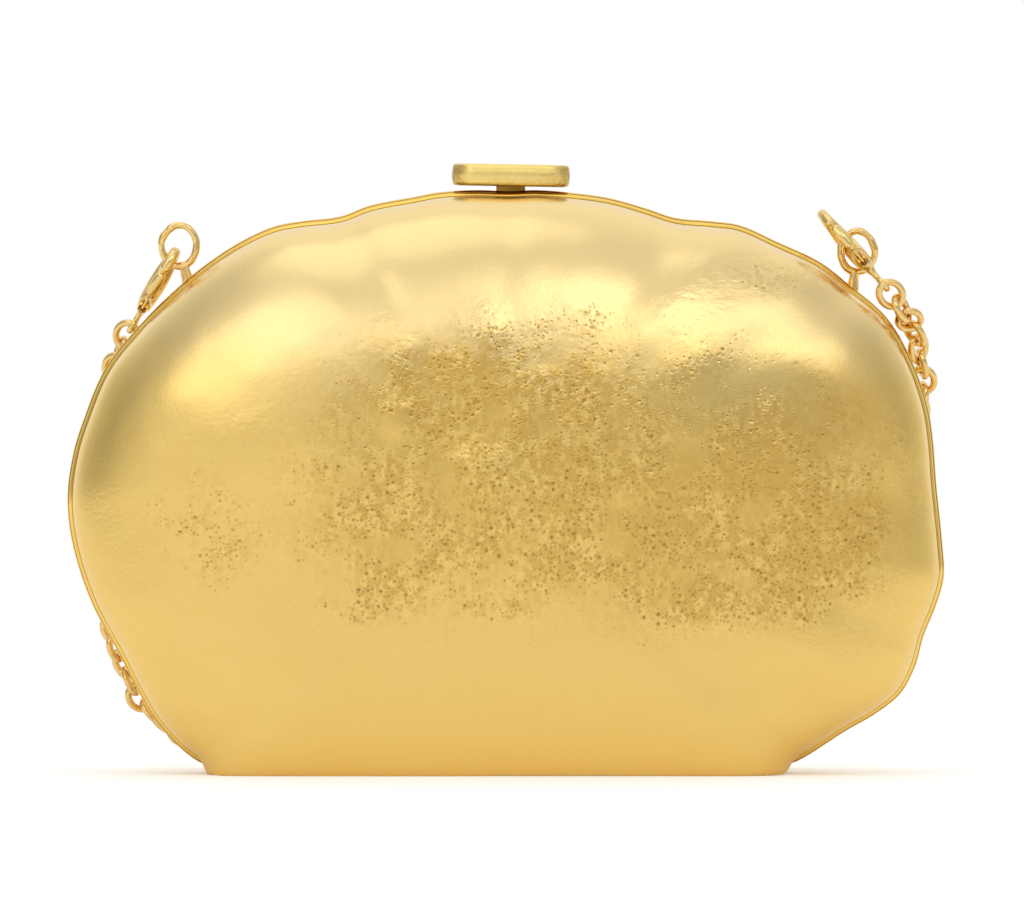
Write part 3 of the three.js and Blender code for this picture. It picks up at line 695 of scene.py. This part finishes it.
# Eyes, in millimetres: the wire's radius swells and shrinks, and its ring sways, by noise
EYE_HALF_WIDTH = 3.95
EYE_HALF_HEIGHT = 4.6
EYE_WIRE = 0.84
EYE_SWELL = 0.22
EYE_SWELL_SIZE = 1.9
EYE_SWAY = 0.24
EYE_SWAY_SIZE = 3.2
EYE_Y = 2.2
EYE_STEPS = 84
EYE_SIDES = 16
STEM_SINK = 1.4
STEM_RADII = (1.5, 1.05)
STEM_STEPS = 10
FINE_OUTLINE_POINTS = 1200

# Each side: where its eye stands on the rim and where the eye's centre is from there, where round
# the eye the claw hooks in and where on the claw that is, and how the claw hangs, in degrees
EYES = {
    "left": {
        "anchor_x": -72.56, "offset": (-1.9, 7.6), "hook_angle": 235, "hook": (-0.3, 18.75),
        "lean": 19, "tilt": 26, "seed": 21,
    },
    "right": {
        "anchor_x": 79.26, "offset": (1.1, 8.2), "hook_angle": 143, "hook": (1.7, 14.1),
        "lean": 169.3, "tilt": -11, "seed": 31,
    },
}

# Limbs of a claw: across it, along it from the tail, half width and half thickness
CLAW_ARM = [
    (-0.4, 6.2, 2.2, 1.75), (0.6, 8.0, 2.3, 2.0), (2.3, 10.2, 1.7, 2.1), (3.6, 12.6, 1.15, 2.05),
    (3.9, 15.2, 1.05, 1.85), (3.3, 18.2, 1.05, 1.5), (1.7, 20.7, 1.1, 1.3),
    (-0.2, 21.5, 1.05, 1.2), (-2.1, 20.3, 1.05, 1.2), (-3.3, 18.4, 0.95, 1.2),
]
CLAW_HOUSING = [(0.2, 5.2, 1.5, 1.3), (-1.4, 6.6, 1.9, 1.6), (-2.9, 7.8, 1.4, 1.45)]
CLAW_NECK = [(0, 1.7, 0.8, 0.7), (0, 3.2, 0.85, 0.75), (0.1, 4.8, 1.5, 1.2), (0.2, 6.4, 2.0, 1.5)]
CLAW_SLOT = ((-22.6, 5.4, -0.95), (0.4, 10.5, 0.95))
GATE_ROOT = [(-2.2, 6.9, 1.1, 0.62), (-2.9, 9.2, 0.95, 0.62), (-3.5, 11.2, 0.9, 0.62)]
GATE_ARM = [(-3.55, 11.5, 0.95, 1.15), (-3.95, 14.0, 0.95, 1.3), (-3.75, 16.2, 0.9, 1.15)]
GATE_TAB = [(-3.6, 10.2, 0.5, 0.6), (-5.3, 10.1, 0.45, 0.6)]
TAIL_RADIUS = 1.6
TAIL_HALF_WIRE = (0.52, 0.78)
TAIL_STEPS = 36
TAIL_SIDES = 14
LIMB_SIDES = 24
LIMB_END_ANGLES = (25, 50, 70, 84)

# How finely the solids are melted into one, in millimetres, and how often the skin is smoothed
CLAW_VOXEL = 0.1
CLAW_ROUNDS = 20
LEVER_ROUNDS = 10
EYE_VOXEL = 0.11
EYE_ROUNDS = 12


def rim_height(x):
    """The height of the outline's upper side at x."""
    outline = outline_points(FINE_OUTLINE_POINTS)
    upper = outline[outline[:, 1] > CROWN[1]]
    upper = upper[np.argsort(upper[:, 0])]
    return float(np.interp(x, upper[:, 0], upper[:, 1]))


def eye_centre(eye):
    """The middle of an eye's ring, in millimetres."""
    dx, dz = eye["offset"]
    return np.array([eye["anchor_x"] + dx, EYE_Y, rim_height(eye["anchor_x"]) + dz])


def limb(stations):
    """A round-ended limb with oval sections, as points and faces."""
    line = spline(stations, per_span=8)
    for end, ahead in ((0, line[0] - line[1]), (-1, line[-1] - line[-2])):
        ahead = ahead[:2] / np.linalg.norm(ahead[:2])
        cap = []
        for angle in np.radians(LIMB_END_ANGLES):
            x, y, width, thickness = line[end]
            x, y = np.array([x, y]) + ahead * min(width, thickness) * math.sin(angle)
            cap.append([x, y, width * math.cos(angle), thickness * math.cos(angle)])
        line = np.vstack([cap[::-1], line]) if end == 0 else np.vstack([line, cap])
    ahead = np.gradient(line[:, :2], axis=0)
    ahead /= np.linalg.norm(ahead, axis=1)[:, None]
    turn = np.linspace(0, 2 * math.pi, LIMB_SIDES, endpoint=False)
    rings = []
    for (x, y, width, thickness), (ax, ay) in zip(line, ahead):
        wide = width * np.cos(turn)
        rings.append(np.column_stack([x - ay * wide, y + ax * wide, thickness * np.sin(turn)]))
    return np.vstack(rings), capped(len(rings), LIMB_SIDES)


def tail_ring():
    """The ring at a claw's tail, of oval wire, as points and faces."""
    turn = np.linspace(0, 2 * math.pi, TAIL_STEPS, endpoint=False)
    wire = np.linspace(0, 2 * math.pi, TAIL_SIDES, endpoint=False)
    reach = TAIL_RADIUS + TAIL_HALF_WIRE[0] * np.cos(wire)
    height = TAIL_HALF_WIRE[1] * np.sin(wire)
    rings = [np.column_stack([reach * math.cos(a), reach * math.sin(a), height]) for a in turn]
    return np.vstack(rings), grid_faces(TAIL_STEPS, TAIL_SIDES, closed_rows=True)


def block(low, high):
    """A box between two corners, as points and faces."""
    points = [(x, y, z) for x in (low[0], high[0]) for y in (low[1], high[1])
              for z in (low[2], high[2])]
    faces = [(0, 1, 3, 2), (4, 6, 7, 5), (0, 4, 5, 1), (2, 3, 7, 6), (0, 2, 6, 4), (1, 5, 7, 3)]
    return np.array(points), faces


def carved(made, points, faces):
    """The object with a solid cut out of it."""
    mesh = bpy.data.meshes.new("tool")
    mesh.from_pydata(points.tolist(), [], faces)
    tool = new_object("tool", mesh)
    cut = made.modifiers.new("Cut", "BOOLEAN")
    cut.object = tool
    cut.solver = "EXACT"
    applied(made)
    bpy.data.objects.remove(tool)
    return made


def claw_frame(eye):
    """The claw's origin, at its tail's middle, and its three directions."""
    x = eye["anchor_x"]
    slope = math.atan(rim_height(x + 1 / 2) - rim_height(x - 1 / 2))
    lean, tilt = slope + math.radians(eye["lean"]), math.radians(eye["tilt"])
    up = np.array([
        math.cos(lean) * math.cos(tilt), -math.sin(tilt), math.sin(lean) * math.cos(tilt),
    ])
    across = np.array([0, 1, 0]) - up * up[1]
    across /= np.linalg.norm(across)
    through = np.cross(across, up)
    hook = math.radians(eye["hook_angle"])
    wire = eye_centre(eye) + (EYE_HALF_WIDTH * math.cos(hook), 0, EYE_HALF_HEIGHT * math.sin(hook))
    u, v = eye["hook"]
    return wire - v * up - u * across, np.array([across, up, through])


def placed(made, origin=np.zeros(3), directions=np.identity(3)):
    """Moves a mesh from its own millimetres to its place in metres."""
    points = np.empty(3 * len(made.data.vertices))
    made.data.vertices.foreach_get("co", points)
    points = (points.reshape(-1, 3) @ directions + origin) * MM
    made.data.vertices.foreach_set("co", points.ravel())
    made.data.update()
    return made


def make_claw(side):
    """The cast claw and its lever. Returns them with the rivet and the spring."""
    body = melted(
        f"{side}_claw_cast",
        [limb(CLAW_ARM), limb(CLAW_HOUSING), limb(CLAW_NECK), tail_ring()],
        CLAW_VOXEL, CLAW_ROUNDS,
    )
    carved(body, *block(*CLAW_SLOT))
    gate = melted(
        f"{side}_claw_lever",
        [limb(GATE_ROOT), limb(GATE_ARM), limb(GATE_TAB)],
        CLAW_VOXEL, LEVER_ROUNDS,
    )
    frame_of_claw = claw_frame(EYES[side])
    for made in (body, gate):
        placed(made, *frame_of_claw)
    piece(body, "back_half", "satin_gold", CAST, f"{side}_claw_body")
    piece(gate, f"{side}_gate", "satin_gold", CAST, f"{side}_claw_gate")
    return [body, gate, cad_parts[f"{side}_claw_rivet"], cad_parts[f"{side}_claw_spring"]]


chain, chain_length = make_chain()
claw_pieces = make_claw("left") + make_claw("right")


def make_eye(side):
    """A ring of hammered wire and its stem, melted together."""
    eye = EYES[side]
    centre, seed = eye_centre(eye), eye["seed"]
    turn = np.linspace(0, 2 * math.pi, EYE_STEPS, endpoint=False)
    line = np.column_stack([
        EYE_HALF_WIDTH * np.cos(turn), np.zeros(EYE_STEPS), EYE_HALF_HEIGHT * np.sin(turn),
    ])
    x, y, z = (noise_at(line, EYE_SWAY_SIZE, seed + k) for k in range(3))
    line += EYE_SWAY * np.column_stack([x, 0.5 * y, z])
    wire = EYE_WIRE + EYE_SWELL * noise_at(line, EYE_SWELL_SIZE, seed + 3)
    ring = looped_tube(line + centre, wire, EYE_SIDES)
    dx, dz = eye["offset"]
    ahead = np.array([dx, 0, dz]) / math.hypot(dx, dz)
    foot = centre - ahead * math.hypot(dx, dz)
    line = np.linspace(foot - ahead * STEM_SINK, centre - ahead * EYE_HALF_HEIGHT, STEM_STEPS)
    skin = tube_points(line, np.linspace(*STEM_RADII, STEM_STEPS), EYE_SIDES, closed=False)
    solids = [ring, (skin, capped(STEM_STEPS, EYE_SIDES))]
    made = placed(melted(f"{side}_wire_eye", solids, EYE_VOXEL, EYE_ROUNDS))
    return piece(made, "back_half", "link_gold", LINK, f"{side}_eye")


make_eye("left")
make_eye("right")


# Bowls

# Soft dents and swellings: x, z, radius, and how far out the metal stands, in millimetres
FRONT_DENTS = [
    (-46, 92, 20, 0.7), (-14, 80, 15, -0.6), (38, 96, 17, 0.6), (62, 84, 13, -0.5),
    (4, 62, 20, 0.5), (-40, 52, 18, -0.4), (70, 58, 18, 0.5), (40, 50, 16, -0.5),
]
BACK_DENTS = [
    (44, 90, 19, 0.6), (10, 78, 16, -0.6), (-38, 94, 18, 0.5), (-62, 70, 15, -0.5),
    (-8, 56, 20, 0.5), (48, 46, 17, -0.4), (-60, 42, 16, 0.4),
]

# Smaller dents of the same kind, only in the outer face
FRONT_DINTS = [
    (-6, 69.5, 5.5, 0.65), (-24, 80.5, 4.5, 0.45), (-35, 54, 8, 0.4), (73, 90, 8, 0.4),
    (42, 96, 9, 0.3), (55, 102, 6, -0.25), (-24, 97, 6, 0.25), (58, 12, 7, 0.35), (62, 22, 5, -0.2),
    (24, 44, 9, -0.2), (-4, 100, 4, 0.25),
]
BACK_DINTS = [(12, 70, 8, 0.3), (-40, 60, 8, 0.25), (-70, 88, 8, 0.4), (60, 30, 8, -0.25)]

# The beaten metal's waves: how high and how wide, in millimetres, and which share of them is
# gone above the upper of the two heights. All fade out between the two shares, near the rim
BEATEN_WAVES = [(0.22, 30, 0), (0.13, 12, 0.5), (0.035, 5, 0.8)]
CALM_HEIGHTS = (100, 120)
CALM_SHARES = (0.93, 0.99)

# Ovals where a bowl is pitted, darkened by patina and a painted dark reflection, or crinkled: x, z,
# half width, half height, strength.
# Each is full up to the first of the fade's shares of its size, and ends at the second
SPOT_FADE = (0.4, 1.35)
FRONT_PITS = [
    (-15, 87, 17, 12, 1.1), (12.5, 70.6, 16, 13, 1.1), (21.6, 53.6, 18, 11, 1.3),
    (-18, 58, 26, 22, 0.95), (58, 54.7, 30, 20, 1.15), (17, 101, 9, 7, 0.5), (51, 77, 10, 6, 0.9),
    (50, 40, 28, 7, 1.1), (4, 82, 32, 24, 0.95), (60, 66, 26, 16, 0.9), (18, 68, 72, 36, 0.6),
    (-67, 56, 14, 15, 0.5), (60, 112, 16, 5, 0.3), (-28, 40, 14, 6, 0.8), (-2, 38, 10, 3, 0.9),
]
# Patina and a painted dark reflection, over the middle of each bowl
FRONT_PATINA_AND_PAINTED_REFLECTION = [
    (-6, 85, 36, 14, 0.6), (-17, 58, 30, 19, 0.5), (26, 60, 34, 22, 0.8), (65, 61, 26, 24, 0.8),
    (44, 43, 26, 7, 0.6), (79, 74, 14, 22, 0.5),
]
FRONT_CRINKLES = [
    (-4.6, 103.6, 6, 5, 0.55), (-26, 99, 8, 7, 0.45), (62, 115, 20, 6, 0.75), (44, 106, 10, 9, 0.4),
    (50, 44, 20, 8, 0.3), (-8, 73, 7, 4, 0.4), (-56, 76, 12, 8, 0.25),
]
BACK_PITS = [
    (-30, 70, 30, 26, 0.7), (34, 58, 26, 24, 0.6), (0, 70, 66, 34, 0.25), (-50, 108, 14, 6, 0.25),
]
BACK_PATINA_AND_PAINTED_REFLECTION = [(-28, 70, 34, 24, 0.7), (34, 60, 30, 22, 0.6)]
BACK_CRINKLES = [(10, 104, 6, 5, 0.7), (-50, 112, 14, 5, 0.6), (30, 44, 16, 7, 0.3)]

# A painted highlight turns the metal paler between the first two heights, and it turns less grainy
# between the other two, with an uneven edge. The sizes are those of the noise that breaks up each layer
PAINTED_HIGHLIGHT_HEIGHTS = (78, 108)
GRAIN_HEIGHTS = (42, 88)
LEAST_GRAIN = 0.2
UNEVEN_RISE = 7
UNEVEN_SIZE = 22
PITTING_SIZE = 9
PATINA_AND_REFLECTION_SIZE = 16

# Spokes and rings of each skin's mesh, and the size of the section that spaces the rings
FRONT_GRID = (460, 196)
BACK_GRID = (340, 140)
INNER_RINGS = 12
LINING_GRID = (220, 50)
SECTION_REACH = 82
SECTION_RISE = 27


def spots(x, z, places):
    """The strongest of several ovals at each point, from 0 to its own strength."""
    total = np.zeros(len(x))
    for spot_x, spot_z, half_x, half_z, strength in places:
        away = np.hypot((x - spot_x) / half_x, (z - spot_z) / half_z)
        total = np.maximum(total, strength * (1 - smoothstep(away, *SPOT_FADE)))
    return total


def section_shares(rings):
    """Shares of the way out from the crown, from 1 at the rim down, evenly spaced on the metal."""
    share = np.cos(np.linspace(0, math.pi / 2, 400))
    rise = (1 - share ** SIDE_ROUNDNESS) ** (1 / SIDE_ROUNDNESS)
    along = lengths_along(np.column_stack([SECTION_REACH * share, SECTION_RISE * rise]))
    return np.interp(np.linspace(0, along[-1], rings + 1), along, share)[:-1]


def dent_rise(dents, x, z):
    """How far out the dents and swellings bring the metal, in millimetres."""
    return sum(out * np.exp(-((x - dx) ** 2 + (z - dz) ** 2) / radius ** 2)
               for dx, dz, radius, out in dents)


def bowl_skin(outline, shares, inset, depth, floor, dents):
    """Rings of points from the rim to the crown on the +Y side, and the crown itself."""
    base = 1 - smoothstep(outline[:, 1], 0, BASE_BLEND_HEIGHT)
    boxy = 1 - smoothstep(outline[:, 1], 0, BOXY_HEIGHT)
    edge = outline - outward(outline) * (RIM_REVEAL * (1 - base) + inset)[:, None]
    edge[:, 1] -= BASE_DROP * base
    crown = np.array(CROWN)
    rings = []
    for share in shares:
        boxiness = boxy * smoothstep(share, 0, BOXY_FULL_SHARE)
        roundness = SIDE_ROUNDNESS + (BASE_ROUNDNESS - SIDE_ROUNDNESS) * boxiness
        rise = (1 - share ** roundness) ** (1 / roundness)
        x, z = (crown + (edge - crown) * share).T
        z = np.maximum(floor, z)
        y = BOWL_EDGE_Y + (depth - BOWL_EDGE_Y) * rise + dent_rise(dents, x, z) * rise ** 2
        rings.append(np.column_stack([x, y, z]))
    return np.array(rings), np.array([CROWN[0], depth + dent_rise(dents, *CROWN), CROWN[1]])


def grid_normals(rings):
    """Outward normals of rings of points that lie on the +Y side."""
    round_way = np.roll(rings, -1, axis=1) - np.roll(rings, 1, axis=1)
    inward_way = np.gradient(rings, axis=0)
    normals = np.cross(inward_way, round_way)
    return normals / np.maximum(np.linalg.norm(normals, axis=2, keepdims=True), 1e-9)


def hammering(points, shares, dints, seed):
    """How far the beaten metal stands out of the smooth bowl, in millimetres."""
    free = 1 - smoothstep(shares, *CALM_SHARES)
    upper = smoothstep(points[:, 2], *CALM_HEIGHTS)
    height = np.zeros(len(points))
    for k, (rise, size, calm) in enumerate(BEATEN_WAVES):
        height += rise * noise_at(points, size, seed + k) * (1 - calm * upper)
    height += dent_rise(dints, points[:, 0], points[:, 2])
    return height * free


def closed_bowl(name, side, outer, inner):
    """One closed skin over two nested bowls: side is 1 for the back half, -1 for the front."""
    (outer_rings, outer_crown), (inner_rings, inner_crown) = outer, inner
    columns = outer_rings.shape[1]
    rows = [*outer_rings[::-1], *inner_rings]
    points = np.vstack([outer_crown[None], *rows, inner_crown[None]])
    faces = [tuple(v + 1 for v in face) for face in grid_faces(len(rows), columns)]
    last = len(points) - 1
    for i in range(columns):
        j = (i + 1) % columns
        faces.append((0, 1 + j, 1 + i))
        faces.append((last, last - columns + i, last - columns + j))
    if side < 0:
        points = points * (1, -1, 1)
        faces = [face[::-1] for face in faces]
    return new_mesh(name, points, faces)


def finish_layers(made, pits, patina_and_painted_reflection, crinkles, seed):
    """Writes where the bowl is pitted, darkened by patina and a painted dark reflection, paler by a
    painted highlight, grained and crinkled.
    """
    x, y, z = np.array([v.co for v in made.data.vertices]).T / MM
    flat = np.column_stack([x, np.zeros(len(x)), z])
    broken = np.clip(0.8 + 1.1 * noise_at(flat, PITTING_SIZE, seed + 5, 2), 0.1, 1.6)
    cloud = np.clip(1 + 0.9 * noise_at(flat, PATINA_AND_REFLECTION_SIZE, seed + 6, 3), 0.3, 1.4)
    uneven = UNEVEN_RISE * noise_at(flat, UNEVEN_SIZE, seed + 7, 2)
    set_layer(made, "pitting", np.clip(spots(x, z, pits) * broken, 0, 1))
    # Patina and a painted dark reflection, broken up by a cloud of noise
    set_layer(made, "patina_and_painted_reflection", np.clip(spots(x, z, patina_and_painted_reflection) * cloud, 0, 1))
    set_layer(made, "crinkle", spots(x, z, crinkles))
    # Painted highlight: paler gold over the upper part, with an uneven lower edge
    set_layer(made, "pale", smoothstep(z + uneven, *PAINTED_HIGHLIGHT_HEIGHTS))
    grained = 1 - smoothstep(z + uneven, *GRAIN_HEIGHTS)
    set_layer(made, "grain", LEAST_GRAIN + (1 - LEAST_GRAIN) * grained)


def make_bowl(name, node, body, side, grid, dents, dints, marks, seed):
    """A shell: its outer skin is beaten, and its inner one is smooth and a wall's width inside."""
    spokes, rings = grid
    outline = outline_points(spokes)
    shares = section_shares(rings)
    outer, crown = bowl_skin(outline, shares, 0, BAG_DEPTH / 2, 0, dents)
    ring_shares = np.repeat(shares, spokes)
    beaten = hammering(outer.reshape(-1, 3), ring_shares, dints, seed).reshape(rings, spokes)
    outer = outer + grid_normals(outer) * beaten[:, :, None]
    crown[1] += beaten[-1].mean()
    outer[:, :, 2] = np.maximum(outer[:, :, 2], 0)
    inner = bowl_skin(
        outline, section_shares(INNER_RINGS), BOWL_WALL, BAG_DEPTH / 2 - BOWL_WALL, BOWL_WALL, dents,
    )
    made = new_object(name, closed_bowl(name, side, (outer, crown), inner))
    finish_layers(made, *marks, seed)
    return piece(made, body, "hammered_gold", HAMMERED, node)


def make_lining(name, node, body, side, dents):
    """The cloth in a shell, which follows its dents."""
    spokes, rings = LINING_GRID
    outline, shares = outline_points(spokes), section_shares(rings)
    depth = BAG_DEPTH / 2 - LINING_INSET
    outer = bowl_skin(outline, shares, LINING_INSET, depth, LINING_INSET, dents)
    inset = LINING_INSET + LINING_THICKNESS
    inner = bowl_skin(outline, shares, inset, depth - LINING_THICKNESS, inset, dents)
    made = new_object(name, closed_bowl(name, side, outer, inner))
    return piece(made, body, "lining", CLOTH, node)


make_bowl("hammered_front", "front_shell", "front_half", -1, FRONT_GRID, FRONT_DENTS, FRONT_DINTS,
          (FRONT_PITS, FRONT_PATINA_AND_PAINTED_REFLECTION, FRONT_CRINKLES), seed=1)
make_bowl("hammered_back", "back_shell", "back_half", 1, BACK_GRID, BACK_DENTS, BACK_DINTS,
          (BACK_PITS, BACK_PATINA_AND_PAINTED_REFLECTION, BACK_CRINKLES), seed=11)
make_lining("front_cloth", "front_lining", "front_half", -1, FRONT_DENTS)
make_lining("back_cloth", "back_lining", "back_half", 1, BACK_DENTS)


# Rims

RIM_STATIONS = 700
RIM_SECTION_SIDES = 28
JOINT_SQUARENESS = 3.4
FACE_SQUARENESS = 2.3
RELIEF_BLEND_HEIGHT = 1.0

# Painted shade lies on the face where the rims meet, behind its unshaded outer edge, and in the groove
# between rim and shell
JOINT_FACE_SHARE = 0.7
UNSHADED_EDGE = 0.28
UNSHADED_EDGE_FADE = 0.8
GROOVE_WIDTH = 0.36


def make_rim(name, node, body, side, step):
    """A soft-edged rail that follows the outline, cut back where the hinge is."""
    outline = outline_points(RIM_STATIONS)
    out = outward(outline)
    z = outline[:, 1]
    base = 1 - smoothstep(z, 0, BASE_BLEND_HEIGHT)
    low = 1 - smoothstep(z, HINGE_AXIS_HEIGHT, HINGE_AXIS_HEIGHT + RELIEF_BLEND_HEIGHT)
    near = (RIM_NEAR_Y + (RELIEF_HALF_WIDTH - RIM_NEAR_Y) * low)[:, None]
    far = RIM_NEAR_Y + RIM_DEPTH
    top = (step + RIM_BASE_LIFT * base)[:, None]
    turn = np.linspace(0, 2 * math.pi, RIM_SECTION_SIDES, endpoint=False)
    power = 2 / np.where(np.cos(turn) < 0, JOINT_SQUARENESS, FACE_SQUARENESS)
    across = np.sign(np.cos(turn)) * np.abs(np.cos(turn)) ** power
    deep = np.sign(np.sin(turn)) * np.abs(np.sin(turn)) ** power
    y = (near + far) / 2 + (far - near) / 2 * across
    inset = (top + RIM_WIDTH) / 2 + (RIM_WIDTH - top) / 2 * deep
    xz = outline[:, None, :] - out[:, None, :] * inset[:, :, None]
    points = np.stack([xz[:, :, 0], side * y, xz[:, :, 1]], axis=2).reshape(-1, 3)
    faces = grid_faces(RIM_STATIONS, RIM_SECTION_SIDES, closed_rows=True)
    if side < 0:
        faces = [face[::-1] for face in faces]
    made = new_object(name, new_mesh(name, points, faces))
    # Painted shade where the rims meet, behind the outer edge, and in the groove by the shell
    joint = smoothstep(inset - top, UNSHADED_EDGE_FADE * UNSHADED_EDGE, UNSHADED_EDGE)
    joint = (across < -JOINT_FACE_SHARE) * joint
    groove = (across > 0) * smoothstep(inset, RIM_REVEAL - GROOVE_WIDTH, RIM_REVEAL)
    set_layer(made, "painted_shade", np.maximum(joint, groove).ravel())
    return piece(made, body, "polished_gold", POLISHED, node)


make_rim("front_rim_rail", "front_rim", "front_half", -1, FRONT_RIM_STEP)
make_rim("back_rim_rail", "back_rim", "back_half", 1, 0)


# Knob

KNOB_LENGTH = 27.0
KNOB_DEPTH = 11.0
KNOB_HEIGHT = 4.95
KNOB_EDGE = 0.9
KNOB_BULGE = 0.22
KNOB_X = 1.2
KNOB_BOTTOM = 133.86
KNOB_TILT = math.radians(1.0)
KNOB_END_STEPS = 40
KNOB_EDGE_STEPS = 7

# The knob's slightly crowned top: how far in from the edge, and how far up, in millimetres
KNOB_CROWN = [(1.6, 0.02), (3.0, 0.05), (4.9, 0.06)]

# Painted shade on the knob: how dark its ends, its lower right corner and its foot are, how far in
# the ends' dark reaches, and between which heights the corner's fades
END_PAINTED_SHADE = 0.75
CORNER_PAINTED_SHADE = 0.4
FOOT_PAINTED_SHADE = 0.6
PAINTED_SHADE_END_REACH = 3.4
CORNER_HEIGHTS = (0.3, 0.8 * KNOB_HEIGHT)


def make_knob():
    """A flat bar with round ends, softened edges and a slightly bulging side."""
    low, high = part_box("push_knob")
    radius = KNOB_DEPTH / 2
    straight = KNOB_LENGTH / 2 - radius
    turn = np.linspace(-math.pi / 2, math.pi / 2, KNOB_END_STEPS)
    round_way = np.concatenate([turn, turn + math.pi])
    shift = np.repeat([straight, -straight], KNOB_END_STEPS)
    edge = np.linspace(0, math.pi / 2, KNOB_EDGE_STEPS)
    side_low, side_high = KNOB_EDGE, KNOB_HEIGHT - KNOB_EDGE
    profile = [(inset, 0.0) for inset, _ in reversed(KNOB_CROWN)]
    profile += [(KNOB_BULGE + KNOB_EDGE * (1 - math.sin(a)), side_low - KNOB_EDGE * math.cos(a))
                for a in edge]
    profile += [(KNOB_BULGE * (1 - math.sin(math.pi * s)), side_low + (side_high - side_low) * s)
                for s in (0.2, 0.4, 0.6, 0.8)]
    profile += [(KNOB_BULGE + KNOB_EDGE * (1 - math.cos(a)), side_high + KNOB_EDGE * math.sin(a))
                for a in edge]
    profile += [(inset, KNOB_HEIGHT + rise) for inset, rise in KNOB_CROWN]
    rows = []
    for inset, z in profile:
        r = radius - inset
        row = [shift + r * np.cos(round_way), r * np.sin(round_way), np.full(len(shift), z)]
        rows.append(np.column_stack(row))
    points = np.vstack(rows)
    x, z = points[:, 0].copy(), points[:, 2].copy()
    points[:, 0] = x * math.cos(KNOB_TILT) + z * math.sin(KNOB_TILT)
    points[:, 2] = -x * math.sin(KNOB_TILT) + z * math.cos(KNOB_TILT)
    points += np.array([KNOB_X, (low.y + high.y) / 2 / MM, KNOB_BOTTOM])
    faces = capped(len(profile), len(shift))
    made = new_object("brushed_knob", new_mesh("brushed_knob", points, faces))
    # Painted shade on the rounded ends, the lower right corner and the foot
    ends = smoothstep(np.abs(x), KNOB_LENGTH / 2 - PAINTED_SHADE_END_REACH, KNOB_LENGTH / 2)
    corner = smoothstep(x, 0, KNOB_LENGTH / 2) * (1 - smoothstep(z, *CORNER_HEIGHTS))
    foot = 1 - smoothstep(z, 0, KNOB_EDGE)
    painted_knob_shade = [END_PAINTED_SHADE * ends, CORNER_PAINTED_SHADE * corner, FOOT_PAINTED_SHADE * foot]
    set_layer(made, "painted_knob_shade", np.maximum.reduce(painted_knob_shade))
    return piece(made, "knob", "satin_gold", SATIN, "push_knob")


make_knob()


# Nodes that keep their shape, some with softened edges

# Widths of the softened edges in millimetres, and how dark the painted shade on the strip under the
# knob is
LEAF_BEVEL = 0.08
LATCH_BEVEL = 0.1
STRIP_PAINTED_SHADE = 0.95


def bevelled(name, node, body, slot, material, width):
    """A copy of a node with its sharp edges softened, in the node's place."""
    made = new_object(name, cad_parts[node].data.copy())
    made.modifiers.new("Weld", "WELD").merge_threshold = 1e-6
    bevel = made.modifiers.new("Bevel", "BEVEL")
    bevel.width = width * MM
    bevel.segments = 3
    bevel.limit_method = "ANGLE"
    return piece(applied(made), body, slot, material, node, crease=30)


def kept(node, material):
    """Gives a node of the frame its material, and leaves the rest of it as it is."""
    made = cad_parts[node]
    if not made.material_slots:
        made.data.materials.append(material)
    for material_slot in made.material_slots:
        material_slot.material = material


bevelled("front_leaf", "front_hinge_leaf", "front_half", "polished_gold", POLISHED, LEAF_BEVEL)
bevelled("back_leaf", "back_hinge_leaf", "back_half", "polished_gold", POLISHED, LEAF_BEVEL)
strip = bevelled("latch_strip", "latch_plate", "knob", "satin_gold", POLISHED, LATCH_BEVEL)
# Painted shade: the strip under the knob is darkened all over
set_layer(strip, "painted_shade", np.full(len(strip.data.vertices), STRIP_PAINTED_SHADE))
bevelled("latch_cover", "latch_guide", "back_half", "satin_gold", SATIN, LATCH_BEVEL)
bevelled("latch_hook", "latch_catch", "front_half", "satin_gold", SATIN, LATCH_BEVEL)
for node in ("hinge_pin", "latch_spring", "left_claw_spring", "right_claw_spring"):
    kept(node, STEEL)
for node in ("left_claw_rivet", "right_claw_rivet"):
    kept(node, POLISHED)
